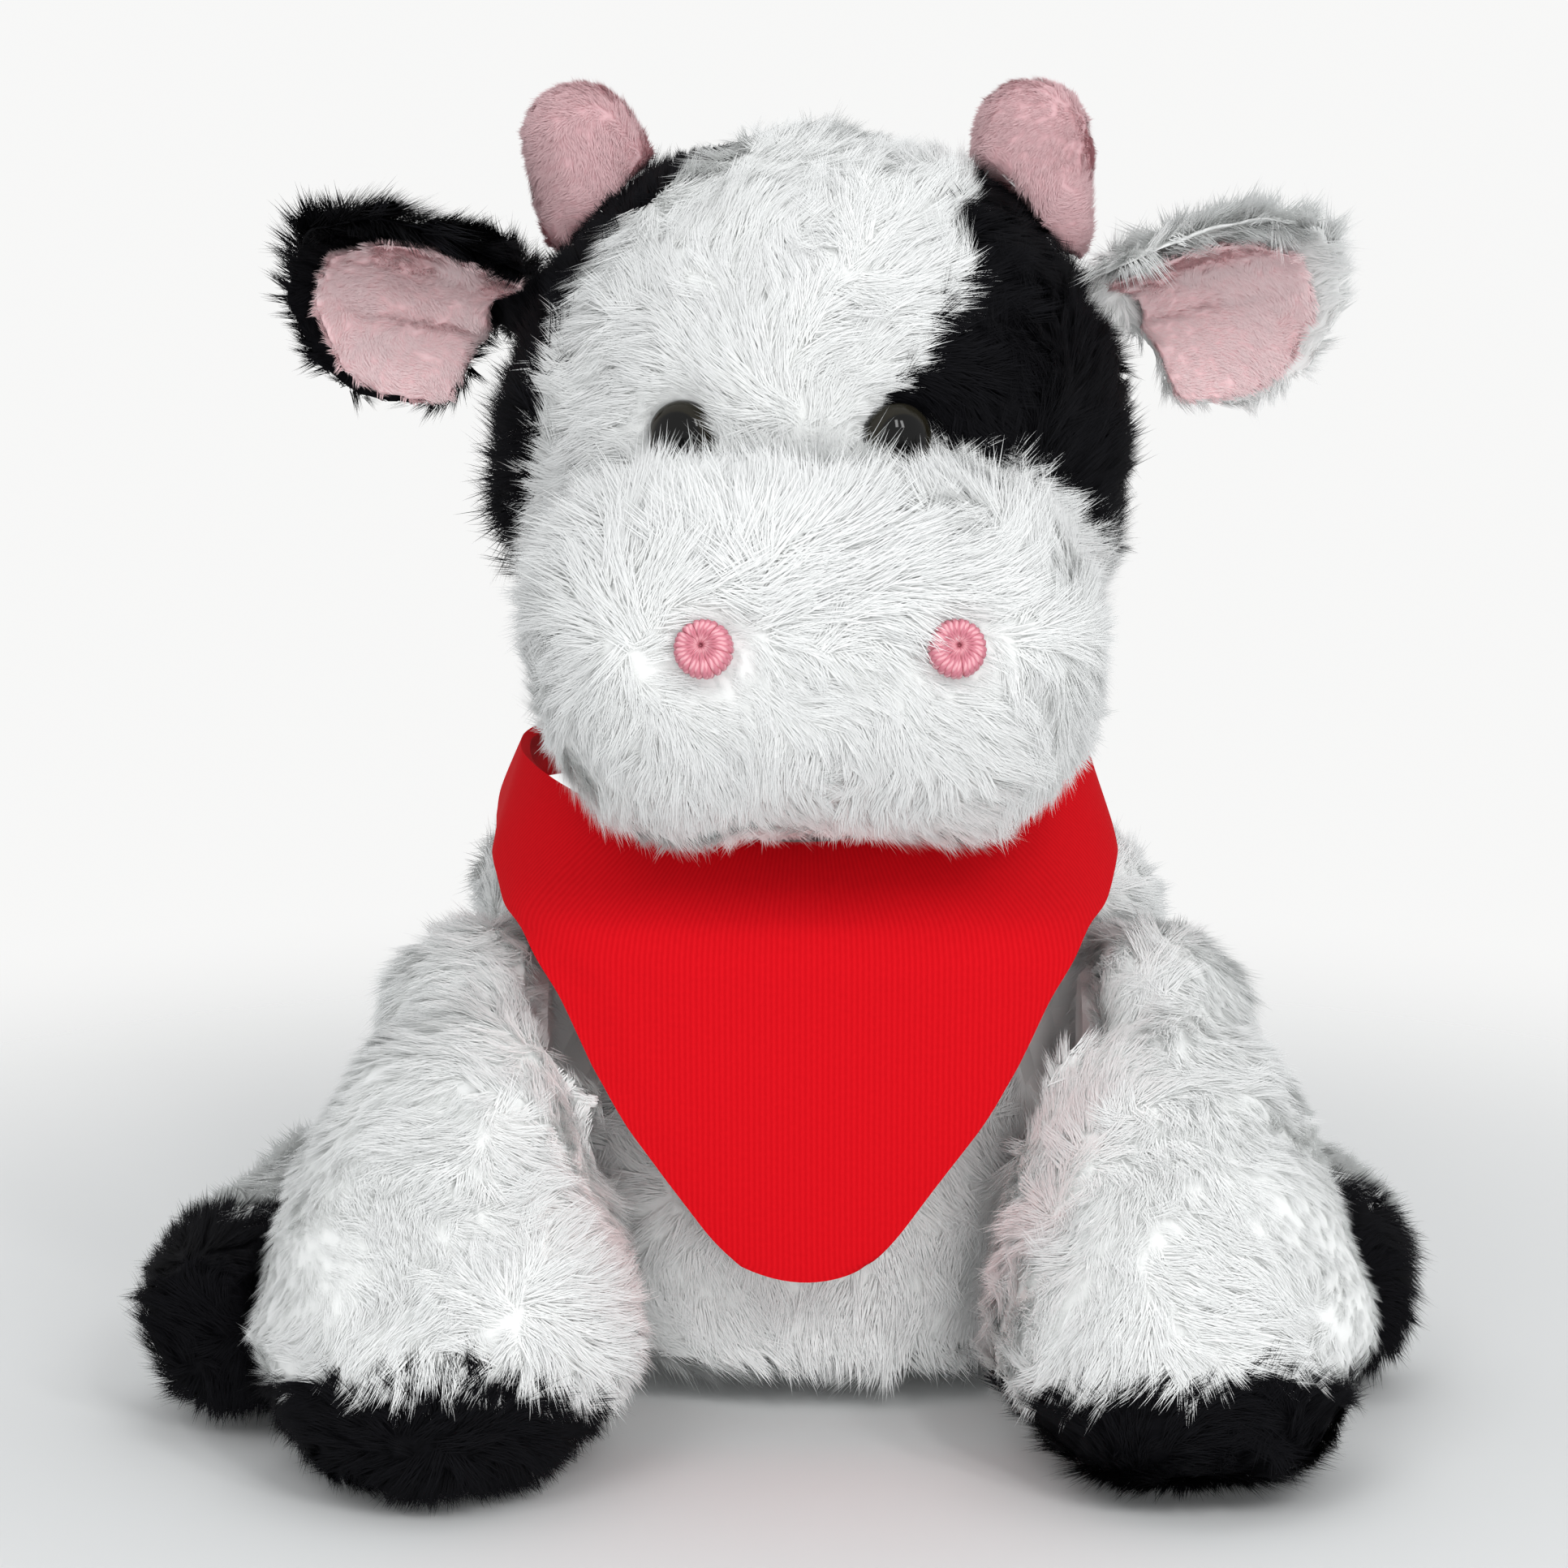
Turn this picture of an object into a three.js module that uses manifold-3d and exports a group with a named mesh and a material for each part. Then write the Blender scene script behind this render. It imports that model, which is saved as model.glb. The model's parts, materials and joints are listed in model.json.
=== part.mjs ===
// A sitting plush cow with a bandana, taken apart as it is sewn: skins, stuffing, eyes and washers.
// Millimetres, +Z up. The cow faces -Y, and its left side is at +X.
import * as THREE from "three";
import { mergeVertices } from "three/addons/utils/BufferGeometryUtils.js";
import Module from "manifold-3d";

const wasm = await Module();
wasm.setup();

// Cloth, clearances and cuts
const gap = 0.4; // between two pieces that touch
const plushWall = 6; // long-pile plush, its backing and its standing pile
const velourWall = 2.6; // short-pile velour of the horns and ear linings
const clothThickness = 2; // the bandana, with its folded hem
const overrun = 12; // how far a cut runs past what it cuts
const soleFlat = 0.5; // how deep a soft form is pressed flat where it stands
const mouthShare = 0.5; // where a limb's root is cut open, from its middle inwards, of its radius

// Torso: a pear that sits on its wide end
const torsoHeight = 108;
const torsoWidth = 130;
const torsoDepth = 100;
const seatForward = 5; // how far forward the seat's middle lies
const torsoLean = 3; // how far back the shoulders lie
const torsoShares = [
  [0, 0.8, 0.98],
  [0.15, 0.86, 1],
  [0.35, 0.92, 0.97],
  [0.6, 0.98, 0.89],
  [0.8, 1, 0.84],
  [1, 0.96, 0.78],
];
const torsoEndShares = [0.07, 0.2];

// Neck: a ball on the torso, in a socket under the head
const neckRadius = 33;
const neckHeight = 92; // of the ball's middle
const neckBack = 1; // of the ball's middle, behind the seat's middle

// Head: a tall egg, wide at the cheeks
const headWidth = 117;
const headDepth = 102;
const headHeight = 119;
const headOverNeck = 17; // from the neck ball's middle up to the head's lowest point
const headShares = [
  [0, 0.84, 0.86],
  [0.25, 0.95, 0.96],
  [0.5, 1, 1],
  [0.75, 0.96, 0.98],
  [1, 0.84, 0.88],
];
const headEndShares = [0.36, 0.5];

const headTurn = 15; // degrees that the head turns each way

// Black panels of the head, as outlines in shares of its half width or half depth, and of its height
const eyePatchShares = [
  [1.2, 1.02],
  [0.6, 1.02],
  [0.49, 0.92],
  [0.43, 0.85],
  [0.47, 0.79],
  [0.33, 0.73],
  [0.29, 0.65],
  [0.17, 0.58],
  [0.3, 0.555],
  [0.52, 0.52],
  [0.75, 0.45],
  [0.92, 0.35],
  [1.2, 0.3],
];
const eyePatchBack = 12; // how far behind the neck's middle the eye patch reaches
const sidePatchShares = [
  [-0.1, 0.95],
  [-0.2, 0.7],
  [-0.16, 0.45],
  [0, 0.31],
  [0.45, 0.3],
  [0.85, 0.46],
  [0.88, 0.74],
  [0.45, 0.98],
];

// Muzzle: a wide pillow across the lower face
const muzzleWidth = 104;
const muzzleHeight = 67;
const muzzleDepth = 70;
const muzzleReach = 56; // of its middle in front of the neck's middle
const muzzleRise = 30; // of its middle above the head's lowest point
const muzzleShares = [
  [0, 0.94, 0.84],
  [0.22, 1, 0.95],
  [0.5, 0.98, 1],
  [0.78, 1, 0.95],
  [1, 0.94, 0.84],
];
const muzzleEndShares = [0.3, 0.3];

// Eyes: plastic domes on a shank, each held by a washer inside the skin
const eyeDiameter = 12;
const eyeDome = 4.6; // height of the dome
const eyeSink = 4.2; // how far the back of the dome lies below the tips of the pile
const eyeSpacing = 39.5;
const eyeShift = -4.5; // both eyes are sewn a little to one side
const eyeHeight = 67; // above the head's lowest point
const shankDiameter = 4;
const shankLength = 9;
const washerDiameter = 11;
const washerThickness = 1.4;
const washerSlack = 0.4; // between the washer and the backing
const eyeRim = 0.8; // height of the straight rim under the dome

// Nostrils: rosettes of yarn
const rosetteDiameter = 10.4;
const rosetteThickness = 3.2;
const rosetteDimple = 1.5;
const crownShare = 0.4; // of the rosette's thickness, the height of its side
const rosetteSink = 2.4; // how far the rosette is drawn into the pile
const rosetteSpacing = 42.5;
const rosetteShift = 2.2;
const rosetteHeight = 8; // above the muzzle's middle

// Horns
const hornWidth = 26;
const hornDepth = 20;
const hornLength = 37; // with the part that is sewn into the head
const hornRoot = 14; // how far that part reaches into the head
const hornSpacingShare = 0.66; // of the head's width
const hornTilts = { left: 3, right: 18 }; // degrees outwards
const hornBack = 4; // behind the neck's middle
const hornShares = [
  [0, 1, 1],
  [0.45, 0.98, 0.98],
  [0.8, 0.88, 0.9],
  [1, 0.74, 0.78],
];
const hornEndShares = [0.1, 0.28];

// Ears: a plush leaf folded lengthways, lined with velour
const earLength = 45;
const earWidth = 51; // along the leaf's curve
const earThickness = 5;
const earRootRadius = 8;
const earRootDepth = 1; // of the root ball's middle below the head's surface
const earHeightShare = 0.706; // of the head's height, up to the root
const earBack = 6; // of the root behind the neck's middle
const earRise = 12; // degrees that the ear points up
const earForward = 12; // degrees that the ear points forwards
const earTurn = 38; // degrees that its hollow faces down from straight ahead
const earFold = 74; // degrees, half the angle that the fold bends through at the root
const earOpenShare = 0.45; // of that angle, at the tip
const earShares = [
  [0, 0.7],
  [0.25, 0.9],
  [0.55, 1],
  [0.82, 0.82],
  [1, 0.36],
];
const liningShare = 0.88; // of the leaf's width and length
const liningDrop = 0.07; // of the leaf's width, towards its lower edge
const earFlap = 18; // degrees that an ear flaps each way

// Front legs: bells that widen to a skirt over the hoof
const legRootRadius = 23;
const legRootSpread = 59; // of the shoulder from the middle
const legRootForward = 33;
const legRootHeight = 66;
const legFootSpread = 65;
const legFootForward = 86;
const legWidth = 73;
const legDepth = 60;
const legShares = [
  [0, 0.66, 0.74],
  [0.3, 0.8, 0.84],
  [0.6, 0.95, 0.94],
  [0.76, 1, 1],
  [0.83, 0.92, 0.94],
  [0.87, 0.76, 0.9],
  [1, 0.76, 0.9],
];
const legEndShares = [0.2, 0.07];
const legHoofShare = 0.855; // where along the leg the hoof begins
const legLift = 15; // degrees that a front leg lifts

// Hind legs: they lie along the seat's sides, with their soles to the front
const hindRootRadius = 23;
const hindRootSpread = 55;
const hindRootBack = 6;
const hindRootHeight = 25;
const hindElbowSpread = 94; // of the bend from the middle
const hindFootSpreads = { left: 93, right: 107 };
const hindFootForwards = { left: 47, right: 68 };
const hindFootHeight = 18;
const hindWidth = 45;
const hindShares = [
  [0, 0.96],
  [0.3, 1],
  [0.6, 0.94],
  [0.76, 0.92],
  [0.82, 0.82],
  [1, 0.8],
];
const hindEndShares = [0.2, 0.1];
const hindHoofShare = 0.79;
const hindSwing = 20; // degrees that a hind leg swings outwards

// Tail
const tailRootRadius = 6.5;
const tailDiameter = 10;
const tailRootHeight = 34;
const tailReach = 15; // how far it hangs behind its root
const tailShares = [
  [0, 0.9],
  [1, 1],
];
const tailEndShares = [0.1, 0.2];
const tailTuftDiameter = 17;
const tailTuftLength = 26;
const tuftShares = [
  [0, 0.8],
  [0.6, 1],
  [1, 0.7],
];
const tuftEndShares = [0.4, 0.5];
const tailSwing = 30; // degrees that the tail swings each way

// Bandana: a band round the neck and a flap over the chest
const bandanaShift = -2; // the whole bandana sits a little to one side
const bandTopWidth = 100;
const bandTopAhead = 42; // how far its upper edge reaches in front
const bandTopBehind = 37; // and behind
const bandTopFront = 103; // height of its upper edge under the chin
const bandTopRise = 10; // how much higher that edge is at the sides and the back
const bandWidth = 110; // at its lower edge
const bandRoundness = 0.42; // of the lower edge seen from above, where 1 is an ellipse and 0 a box
const bandRoomShare = 0.06; // how far the room for the band runs past its edges, of its height
const bandFold = 0.5; // how far round from the front the lower edge stays low, as a cosine
const bandForward = 62; // how far its lower edge reaches in front
const bandBehind = 44; // and behind
const bandSideHeight = 98; // of its lower edge at the sides and the back
const flapTop = 89; // height of the fold between the band and the flap
const flapTip = 28; // height of the tip
const flapWidth = 101; // along the fold
const flapCurl = 9; // how far the flap's upper corners lie behind its middle
const flapShares = [
  [0, 1],
  [0.14, 0.88],
  [0.38, 0.74],
  [0.6, 0.57],
  [0.74, 0.44],
  [0.86, 0.33],
  [0.94, 0.21],
  [1, 0.06],
];
const flapLift = 35; // degrees that the flap lifts

// Pellet bag in the seat
const pelletWidth = 74;
const pelletDepth = 58;
const pelletHeight = 24;

const pelletShares = [
  [0, 1, 1],
  [1, 0.9, 0.9],
];
const pelletEndShares = [0.35, 0.6];
const pelletMouthShare = 0.8; // of the bag's width, the opening of its recess

// Units and rounding of the printed places
const millimetresPerMetre = 1000;
const decimals = 5;

// How full the rounded ends are, where 2 is a circle
const fullness = 2.3;

// The largest turn between two cuts that free a limb from its neighbour
const freeStep = 20; // degrees

// How finely the forms are cut into facets, as rings along and facets around
const fine = [12, 18];
const plain = [8, 12];
const small = [7, 10];
const slim = [5, 8];
const roomSlack = 0.8; // what a room adds to the form that it is made for
const domeSteps = 4;
const crownSteps = 4;
const lathed = 12;
const eyeSides = 16;
const panelPoints = 18;
const bandColumns = 22;
const bandRows = 3;
const flapColumns = 9;
const flapRows = 7;
const earRows = 6;
const earColumns = 7;
const earThinning = 0.6; // how much thinner a leaf is at its edges

const colours = {
  white: 0xe9edeb,
  black: 0x0b0b0d,
  pink: 0xeab0b6,
  yarn: 0xf2a3b0,
  red: 0xdb1020,
  eye: 0x120d0a,
  washer: 0xf2f2f0,
  fibre: 0xf4f4f2,
  bag: 0xd9d9d4,
};
const materials = Object.fromEntries(
  Object.entries(colours).map(([name, color]) => [
    name,
    new THREE.MeshStandardMaterial({
      name,
      color,
      roughness: name === "eye" ? 0.15 : 0.9,
      metalness: 0,
    }),
  ]),
);

const X = new THREE.Vector3(1, 0, 0);
const Y = new THREE.Vector3(0, 1, 0);
const Z = new THREE.Vector3(0, 0, 1);
const at = (x, y, z) => new THREE.Vector3(x, y, z);
const radians = THREE.MathUtils.degToRad;

// A geometry with only its places, and each shared corner once
function welded(geometry) {
  const plain = geometry.clone();
  for (const name of Object.keys(plain.attributes))
    if (name !== "position") plain.deleteAttribute(name);
  return mergeVertices(plain);
}

function solidOf(geometry) {
  const plain = welded(geometry);
  return new wasm.Manifold(
    new wasm.Mesh({
      numProp: 3,
      vertProperties: new Float32Array(plain.attributes.position.array),
      triVerts: new Uint32Array(plain.index.array),
    }),
  );
}

function geometryOf(solid) {
  const { numProp, vertProperties, triVerts } = solid.getMesh();
  const places = new Float32Array((vertProperties.length / numProp) * 3);
  for (let i = 0; i < vertProperties.length / numProp; i++)
    places.set(vertProperties.subarray(i * numProp, i * numProp + 3), i * 3);
  const geometry = new THREE.BufferGeometry();
  geometry.setAttribute("position", new THREE.BufferAttribute(places, 3));
  geometry.setIndex(new THREE.BufferAttribute(triVerts, 1));
  geometry.computeVertexNormals();
  return geometry;
}

const minus = (solid, ...others) => others.reduce((s, o) => s.subtract(o), solid);
const plus = (solid, ...others) => others.reduce((s, o) => s.add(o), solid);

// A closed body through rings of points, with a fan on each end
function throughRings(ringList) {
  const count = ringList[0].length;
  const places = ringList.flat();
  const faces = [];
  const middle = (ring) => ring.reduce((sum, p) => sum.add(p), at(0, 0, 0)).divideScalar(count);
  ringList.slice(1).forEach((_, r) => {
    for (let i = 0; i < count; i++) {
      const a = r * count + i;
      const b = r * count + ((i + 1) % count);
      faces.push(a, b, b + count, a, b + count, a + count);
    }
  });
  const last = (ringList.length - 1) * count;
  const start = places.push(middle(ringList[0])) - 1;
  const end = places.push(middle(ringList.at(-1))) - 1;
  for (let i = 0; i < count; i++) {
    const j = (i + 1) % count;
    faces.push(start, j, i, end, last + i, last + j);
  }
  const geometry = new THREE.BufferGeometry().setFromPoints(places);
  geometry.setIndex(faces);
  return geometry;
}

// Columns of shares along a form, read anywhere between their stations
function reader(table) {
  const places = table.map((row) => row[0]);
  const values = table.flatMap((row) => row.slice(1));
  const curve = new THREE.CubicInterpolant(places, values, table[0].length - 1);
  return (t) => Array.from(curve.evaluate(t));
}

// How wide the last ring of a form is, as a share of the form
const closed = 1e-4;

// 0 at a form's end and 1 past its rounded stretch, a little fuller than a quarter of a circle
const dome = (x) => (x >= 1 ? 1 : Math.max(1 - (1 - x) ** fullness, 0) ** (1 / fullness));

// A stuffed form: ellipses along a spine that close roundly at both ends, moved outwards by a distance,
// or inwards where it is negative. The rings of a level form stay flat, and others lie across the spine.
function softForm(shape, [ringCount, sideCount], distance = 0) {
  const { spine, across, width, depth, shares, ends, level } = shape;
  const read = reader(shares);
  const length = spine.getLength();
  const ringList = [];
  for (let k = 0; k <= ringCount; k++) {
    const t = (1 - Math.cos((Math.PI * k) / ringCount)) / 2;
    const closing = Math.max(dome(t / ends[0]) * dome((1 - t) / ends[1]), closed);
    const run = t * (length + 2 * distance) - distance;
    const share = THREE.MathUtils.clamp(run / length, 0, 1);
    const tangent = spine.getTangentAt(share);
    const middle = spine.getPointAt(share).addScaledVector(tangent, run - share * length);
    const [wide, deep = wide] = read(share);
    const along = level ? Z : tangent;
    const other = along.clone().cross(across).normalize();
    const over = other.clone().cross(along).normalize();
    const ring = [];
    for (let i = 0; i < sideCount; i++) {
      const a = (2 * Math.PI * i) / sideCount;
      const x = ((width / 2) * wide + distance) * closing * Math.cos(a);
      const y = ((depth / 2) * deep + distance) * closing * Math.sin(a);
      ring.push(middle.clone().addScaledVector(over, x).addScaledVector(other, y));
    }
    ringList.push(ring);
  }
  return throughRings(ringList);
}

// The form moved outwards along its surface, or inwards where the distance is negative
function grown(geometry, distance) {
  const moved = welded(geometry);
  moved.computeVertexNormals();
  const { position, normal } = moved.attributes;
  for (let i = 0; i < position.count; i++) {
    const place = at(0, 0, 0).fromBufferAttribute(position, i);
    place.addScaledVector(at(0, 0, 0).fromBufferAttribute(normal, i), distance);
    position.setXYZ(i, ...place);
  }
  return moved;
}

// The solid of a form, grown or shrunk by a distance
const layer = (shape, grain, distance) => solidOf(softForm(shape, grain, distance));

// Room for a form: a plainer one that stands outside it by a distance
function room(shape, distance) {
  const outside = Math.cos(Math.PI / small[1]);
  const wider = { ...shape, width: shape.width / outside, depth: shape.depth / outside };
  return layer(wider, small, distance + roomSlack);
}

function ball(centre, radius, [ringCount, sideCount]) {
  return solidOf(new THREE.SphereGeometry(radius, sideCount, ringCount).translate(...centre));
}

// Room for a ball however it is turned, with one facet more each way so that no corners meet
function ballRoom(centre, radius, grain) {
  const [ringCount, sideCount] = grain.map((count) => count + 1);
  const outside = Math.cos(Math.PI / sideCount) * Math.cos(Math.PI / (2 * ringCount));
  return ball(centre, radius / outside, [ringCount, sideCount]);
}

// A box from the corner low to the corner high
function block(low, high) {
  const size = high.clone().sub(low);
  const middle = low.clone().add(high).divideScalar(2);
  return solidOf(new THREE.BoxGeometry(...size).translate(...middle));
}

// A turned piece whose axis leaves from a place along a direction
function turned(points, place, direction, sides = lathed) {
  const turn = new THREE.Quaternion().setFromUnitVectors(Y, direction);
  return new THREE.LatheGeometry(points, sides)
    .applyQuaternion(turn)
    .translate(...place);
}

// Where a ray meets a form, and which way the form faces there
function seatOn(geometry, from, direction) {
  const mesh = new THREE.Mesh(welded(geometry), new THREE.MeshBasicMaterial());
  mesh.material.side = THREE.DoubleSide;
  const hit = new THREE.Raycaster(from, direction.clone().normalize()).intersectObject(mesh)[0];
  const normal = hit.face.normal.clone();
  if (normal.dot(direction) > 0) normal.negate();
  return { point: hit.point, normal };
}

// A solid turned about an axis through a point
function turnedAbout(solid, centre, axis, degrees) {
  const turn = new THREE.Matrix4().makeRotationAxis(axis.clone().normalize(), radians(degrees));
  const matrix = new THREE.Matrix4()
    .makeTranslation(...centre)
    .multiply(turn)
    .multiply(new THREE.Matrix4().makeTranslation(...centre.clone().negate()));
  return solid.transform(matrix.elements);
}

// The solid cut free of a neighbour in every place that its joint can bring it to
function cutFree(solid, neighbour, centre, axis, from, to) {
  const steps = Math.ceil((to - from) / freeStep);
  let left = solid;
  for (let k = 0; k <= steps; k++) {
    const degrees = from + ((to - from) * k) / steps;
    left = left.subtract(turnedAbout(neighbour, centre, axis, -degrees));
  }
  return left;
}

const group = new THREE.Group();
function addPiece(name, material, solid) {
  const mesh = new THREE.Mesh(geometryOf(solid), materials[material]);
  mesh.name = name;
  group.add(mesh);
}

const farAway = torsoHeight + headHeight + overrun;
const belowFloor = block(
  at(-farAway, -farAway, -farAway),
  at(farAway, farAway, soleFlat),
);

// A solid between two grids of points that face each other, the second one outside
function between(inner, outer, closedRound) {
  const rows = inner.length;
  const columns = inner[0].length;
  const count = rows * columns;
  const last = closedRound ? columns : columns - 1;
  const faces = [];
  const quad = (a, b, c, d) => faces.push(a, b, c, a, c, d);
  for (let r = 0; r < rows - 1; r++)
    for (let c = 0; c < last; c++) {
      const a = r * columns + c;
      const b = r * columns + ((c + 1) % columns);
      quad(a, b, b + columns, a + columns);
      quad(a + count, a + columns + count, b + columns + count, b + count);
    }
  const rim = (a, b) => quad(a, b, b + count, a + count);
  for (let c = 0; c < last; c++) {
    const next = (c + 1) % columns;
    rim(next, c);
    rim((rows - 1) * columns + c, (rows - 1) * columns + next);
  }
  if (!closedRound)
    for (let r = 0; r < rows - 1; r++) {
      rim(r * columns, (r + 1) * columns);
      rim((r + 2) * columns - 1, (r + 1) * columns - 1);
    }
  const geometry = new THREE.BufferGeometry().setFromPoints([...inner.flat(), ...outer.flat()]);
  geometry.setIndex(faces);
  return geometry;
}

// A grid laid out with its points moved along the surface's normals, less far towards its long edges
function laidOn(grid, closedRound, distance, thinning) {
  const rows = grid.length;
  const columns = grid[0].length;
  const step = (list, i, by) => {
    const n = list.length;
    return list[closedRound ? (i + by + n) % n : THREE.MathUtils.clamp(i + by, 0, n - 1)];
  };
  return grid.map((row, r) =>
    row.map((point, c) => {
      const round = step(row, c, 1).clone().sub(step(row, c, -1));
      const down = grid[Math.min(r + 1, rows - 1)][c].clone().sub(grid[Math.max(r - 1, 0)][c]);
      const across = closedRound ? 0 : (2 * c) / (columns - 1) - 1;
      const here = distance * (1 - thinning * across ** 2);
      return point.clone().addScaledVector(down.cross(round).normalize(), here);
    }),
  );
}

const sheet = (grid, closedRound, thickness, thinning) =>
  solidOf(between(grid, laidOn(grid, closedRound, thickness, thinning), closedRound));

const bothSides = [
  ["left", 1],
  ["right", -1],
];
const wideGap = plushWall + gap;

// Torso and neck ball
const torsoShape = {
  spine: new THREE.CatmullRomCurve3([
    at(0, -seatForward, 0),
    at(0, 0, torsoHeight / 2),
    at(0, torsoLean, torsoHeight),
  ]),
  across: X,
  width: torsoWidth,
  depth: torsoDepth,
  shares: torsoShares,
  ends: torsoEndShares,
  level: true,
};
const neckCentre = at(0, neckBack, neckHeight);
const torsoLayer = (grain, distance) =>
  plus(layer(torsoShape, grain, -distance), ball(neckCentre, neckRadius - distance, plain));

// Head and muzzle
const headLow = neckHeight + headOverNeck;
const headShape = {
  spine: new THREE.LineCurve3(at(0, neckBack, headLow), at(0, neckBack, headLow + headHeight)),
  across: X,
  width: headWidth,
  depth: headDepth,
  shares: headShares,
  ends: headEndShares,
};
const headForm = softForm(headShape, fine);
const muzzleMiddle = at(0, neckBack - muzzleReach, headLow + muzzleRise);
const muzzleShape = {
  spine: new THREE.LineCurve3(
    muzzleMiddle.clone().addScaledVector(X, -muzzleWidth / 2),
    muzzleMiddle.clone().addScaledVector(X, muzzleWidth / 2),
  ),
  across: Z,
  width: muzzleHeight,
  depth: muzzleDepth,
  shares: muzzleShares,
  ends: muzzleEndShares,
};
const muzzleForm = softForm(muzzleShape, fine);

// Bandana. In the band, turn 0 is the front, and down runs from the upper edge to the lower one.
const power = (value, exponent) => Math.sign(value) * Math.abs(value) ** exponent;
function bandPoint(turn, down) {
  const s = Math.sin(turn);
  const c = Math.cos(turn);
  const topReach = c > 0 ? bandTopAhead : bandTopBehind;
  const top = at(
    bandanaShift + (bandTopWidth / 2) * s,
    neckBack - topReach * c,
    bandTopFront + bandTopRise * (1 - Math.max(c, 0) ** 2),
  );
  const reach = c > 0 ? bandForward : bandBehind;
  const low = THREE.MathUtils.smoothstep(c, 0, bandFold);
  const bottom = at(
    bandanaShift + (bandWidth / 2) * power(s, bandRoundness),
    neckBack - reach * power(c, bandRoundness),
    THREE.MathUtils.lerp(bandSideHeight, flapTop + gap, low),
  );
  return top.lerp(bottom, down);
}
const bandGridOf = (from, to) =>
  Array.from({ length: bandRows }, (_, r) =>
    Array.from({ length: bandColumns }, (_, c) =>
      bandPoint((2 * Math.PI * c) / bandColumns, THREE.MathUtils.lerp(from, to, r / (bandRows - 1))),
    ),
  );

// A point of the flap: down runs from the fold to the tip, and across from one edge to the other
const readFlap = reader(flapShares);
function flapPoint(down, across, wider, back) {
  const x = across * (flapWidth / 2) * readFlap(down)[0];
  const curl = flapCurl * ((2 * x) / flapWidth) ** 4;
  return at(
    bandanaShift + x + across * wider,
    neckBack - bandForward + curl + back,
    THREE.MathUtils.lerp(flapTop + wider, flapTip - wider, down),
  );
}
const flapGridOf = (wider, back) =>
  Array.from({ length: flapRows }, (_, r) =>
    Array.from({ length: flapColumns }, (_, c) =>
      flapPoint(r / (flapRows - 1), (2 * c) / (flapColumns - 1) - 1, wider, back),
    ),
  );
addPiece("bandana_band", "red", sheet(bandGridOf(0, 1), true, clothThickness, 0));
addPiece("bandana_flap", "red", sheet(flapGridOf(0, 0), false, clothThickness, 0));

// Room for the bandana and for all that lies outside it
const longBand = bandGridOf(-bandRoomShare, 1 + bandRoomShare);
const bandRoom = solidOf(
  between(laidOn(longBand, true, -gap, 0), laidOn(longBand, true, overrun, 0), true),
);
const flapRoom = solidOf(
  between(
    flapGridOf(gap + roomSlack, gap + roomSlack),
    flapGridOf(gap + roomSlack, -legWidth),
    false,
  ),
);

// One piece of plush in its three layers: the outer form, the hollow in it and the fibre in that
function layersOf(make) {
  return {
    outer: make(fine, 0, gap),
    hollow: make(plain, plushWall, wideGap),
    fibre: make(plain, wideGap, wideGap + gap),
  };
}

// Front legs
const legAxis = X.clone().negate();
const frontLegs = {};
for (const [name, side] of bothSides) {
  const root = at(side * legRootSpread, -legRootForward, legRootHeight);
  const sole = at(side * legFootSpread, -legFootForward, 0);
  const shape = {
    spine: new THREE.QuadraticBezierCurve3(root, at(sole.x, sole.y, legRootHeight / 2), sole),
    across: X,
    width: legWidth,
    depth: legDepth,
    shares: legShares,
    ends: legEndShares,
  };
  const layers = layersOf((grain, depth, clearance) => {
    const limb = cutFree(layer(shape, grain, -depth), room(torsoShape, clearance), root, legAxis, 0, legLift);
    const whole = plus(limb, ball(root, legRootRadius - depth, plain));
    return cutFree(whole, flapRoom.translate([0, depth, 0]), root, legAxis, 0, legLift);
  });
  frontLegs[name] = { root, shape, layers };
}

// Hind legs
const hindLegs = {};
for (const [name, side] of bothSides) {
  const root = at(side * hindRootSpread, hindRootBack, hindRootHeight);
  const foot = at(side * hindFootSpreads[name], -hindFootForwards[name], hindFootHeight);
  const elbow = at(side * hindElbowSpread, 0, (hindRootHeight + hindFootHeight) / 2);
  const shape = {
    spine: new THREE.QuadraticBezierCurve3(root, elbow, foot),
    across: Z,
    width: hindWidth,
    depth: hindWidth,
    shares: hindShares,
    ends: hindEndShares,
  };
  const front = frontLegs[name];
  const outwards = Z.clone().multiplyScalar(side);
  const layers = layersOf((grain, depth, clearance) => {
    let limb = layer(shape, grain, -depth);
    limb = cutFree(limb, room(torsoShape, clearance), root, outwards, 0, hindSwing);
    limb = cutFree(limb, room(front.shape, clearance), front.root, legAxis, -legLift, 0);
    return plus(limb, ball(root, hindRootRadius - depth, plain));
  });
  hindLegs[name] = { root, shape, layers };
}

// The half space past a station of a limb's spine, towards its foot
function pastStation(spine, share, shift) {
  const along = spine.getTangentAt(share);
  const size = farAway;
  const box = new THREE.BoxGeometry(size, size, size);
  const turn = new THREE.Quaternion().setFromUnitVectors(Z, along);
  const middle = spine.getPointAt(share).addScaledVector(along, size / 2 + shift);
  return solidOf(box.applyQuaternion(turn).translate(...middle));
}

// The mouth through which a limb is stuffed, cut off its root inside the torso
function mouthOf(root, radius, side) {
  const edge = root.x - side * radius * mouthShare;
  const low = at(Math.min(edge, edge - side * radius), root.y - radius, root.z - radius);
  const high = at(Math.max(edge, edge - side * radius), root.y + radius, root.z + radius);
  return block(low, high);
}

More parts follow.
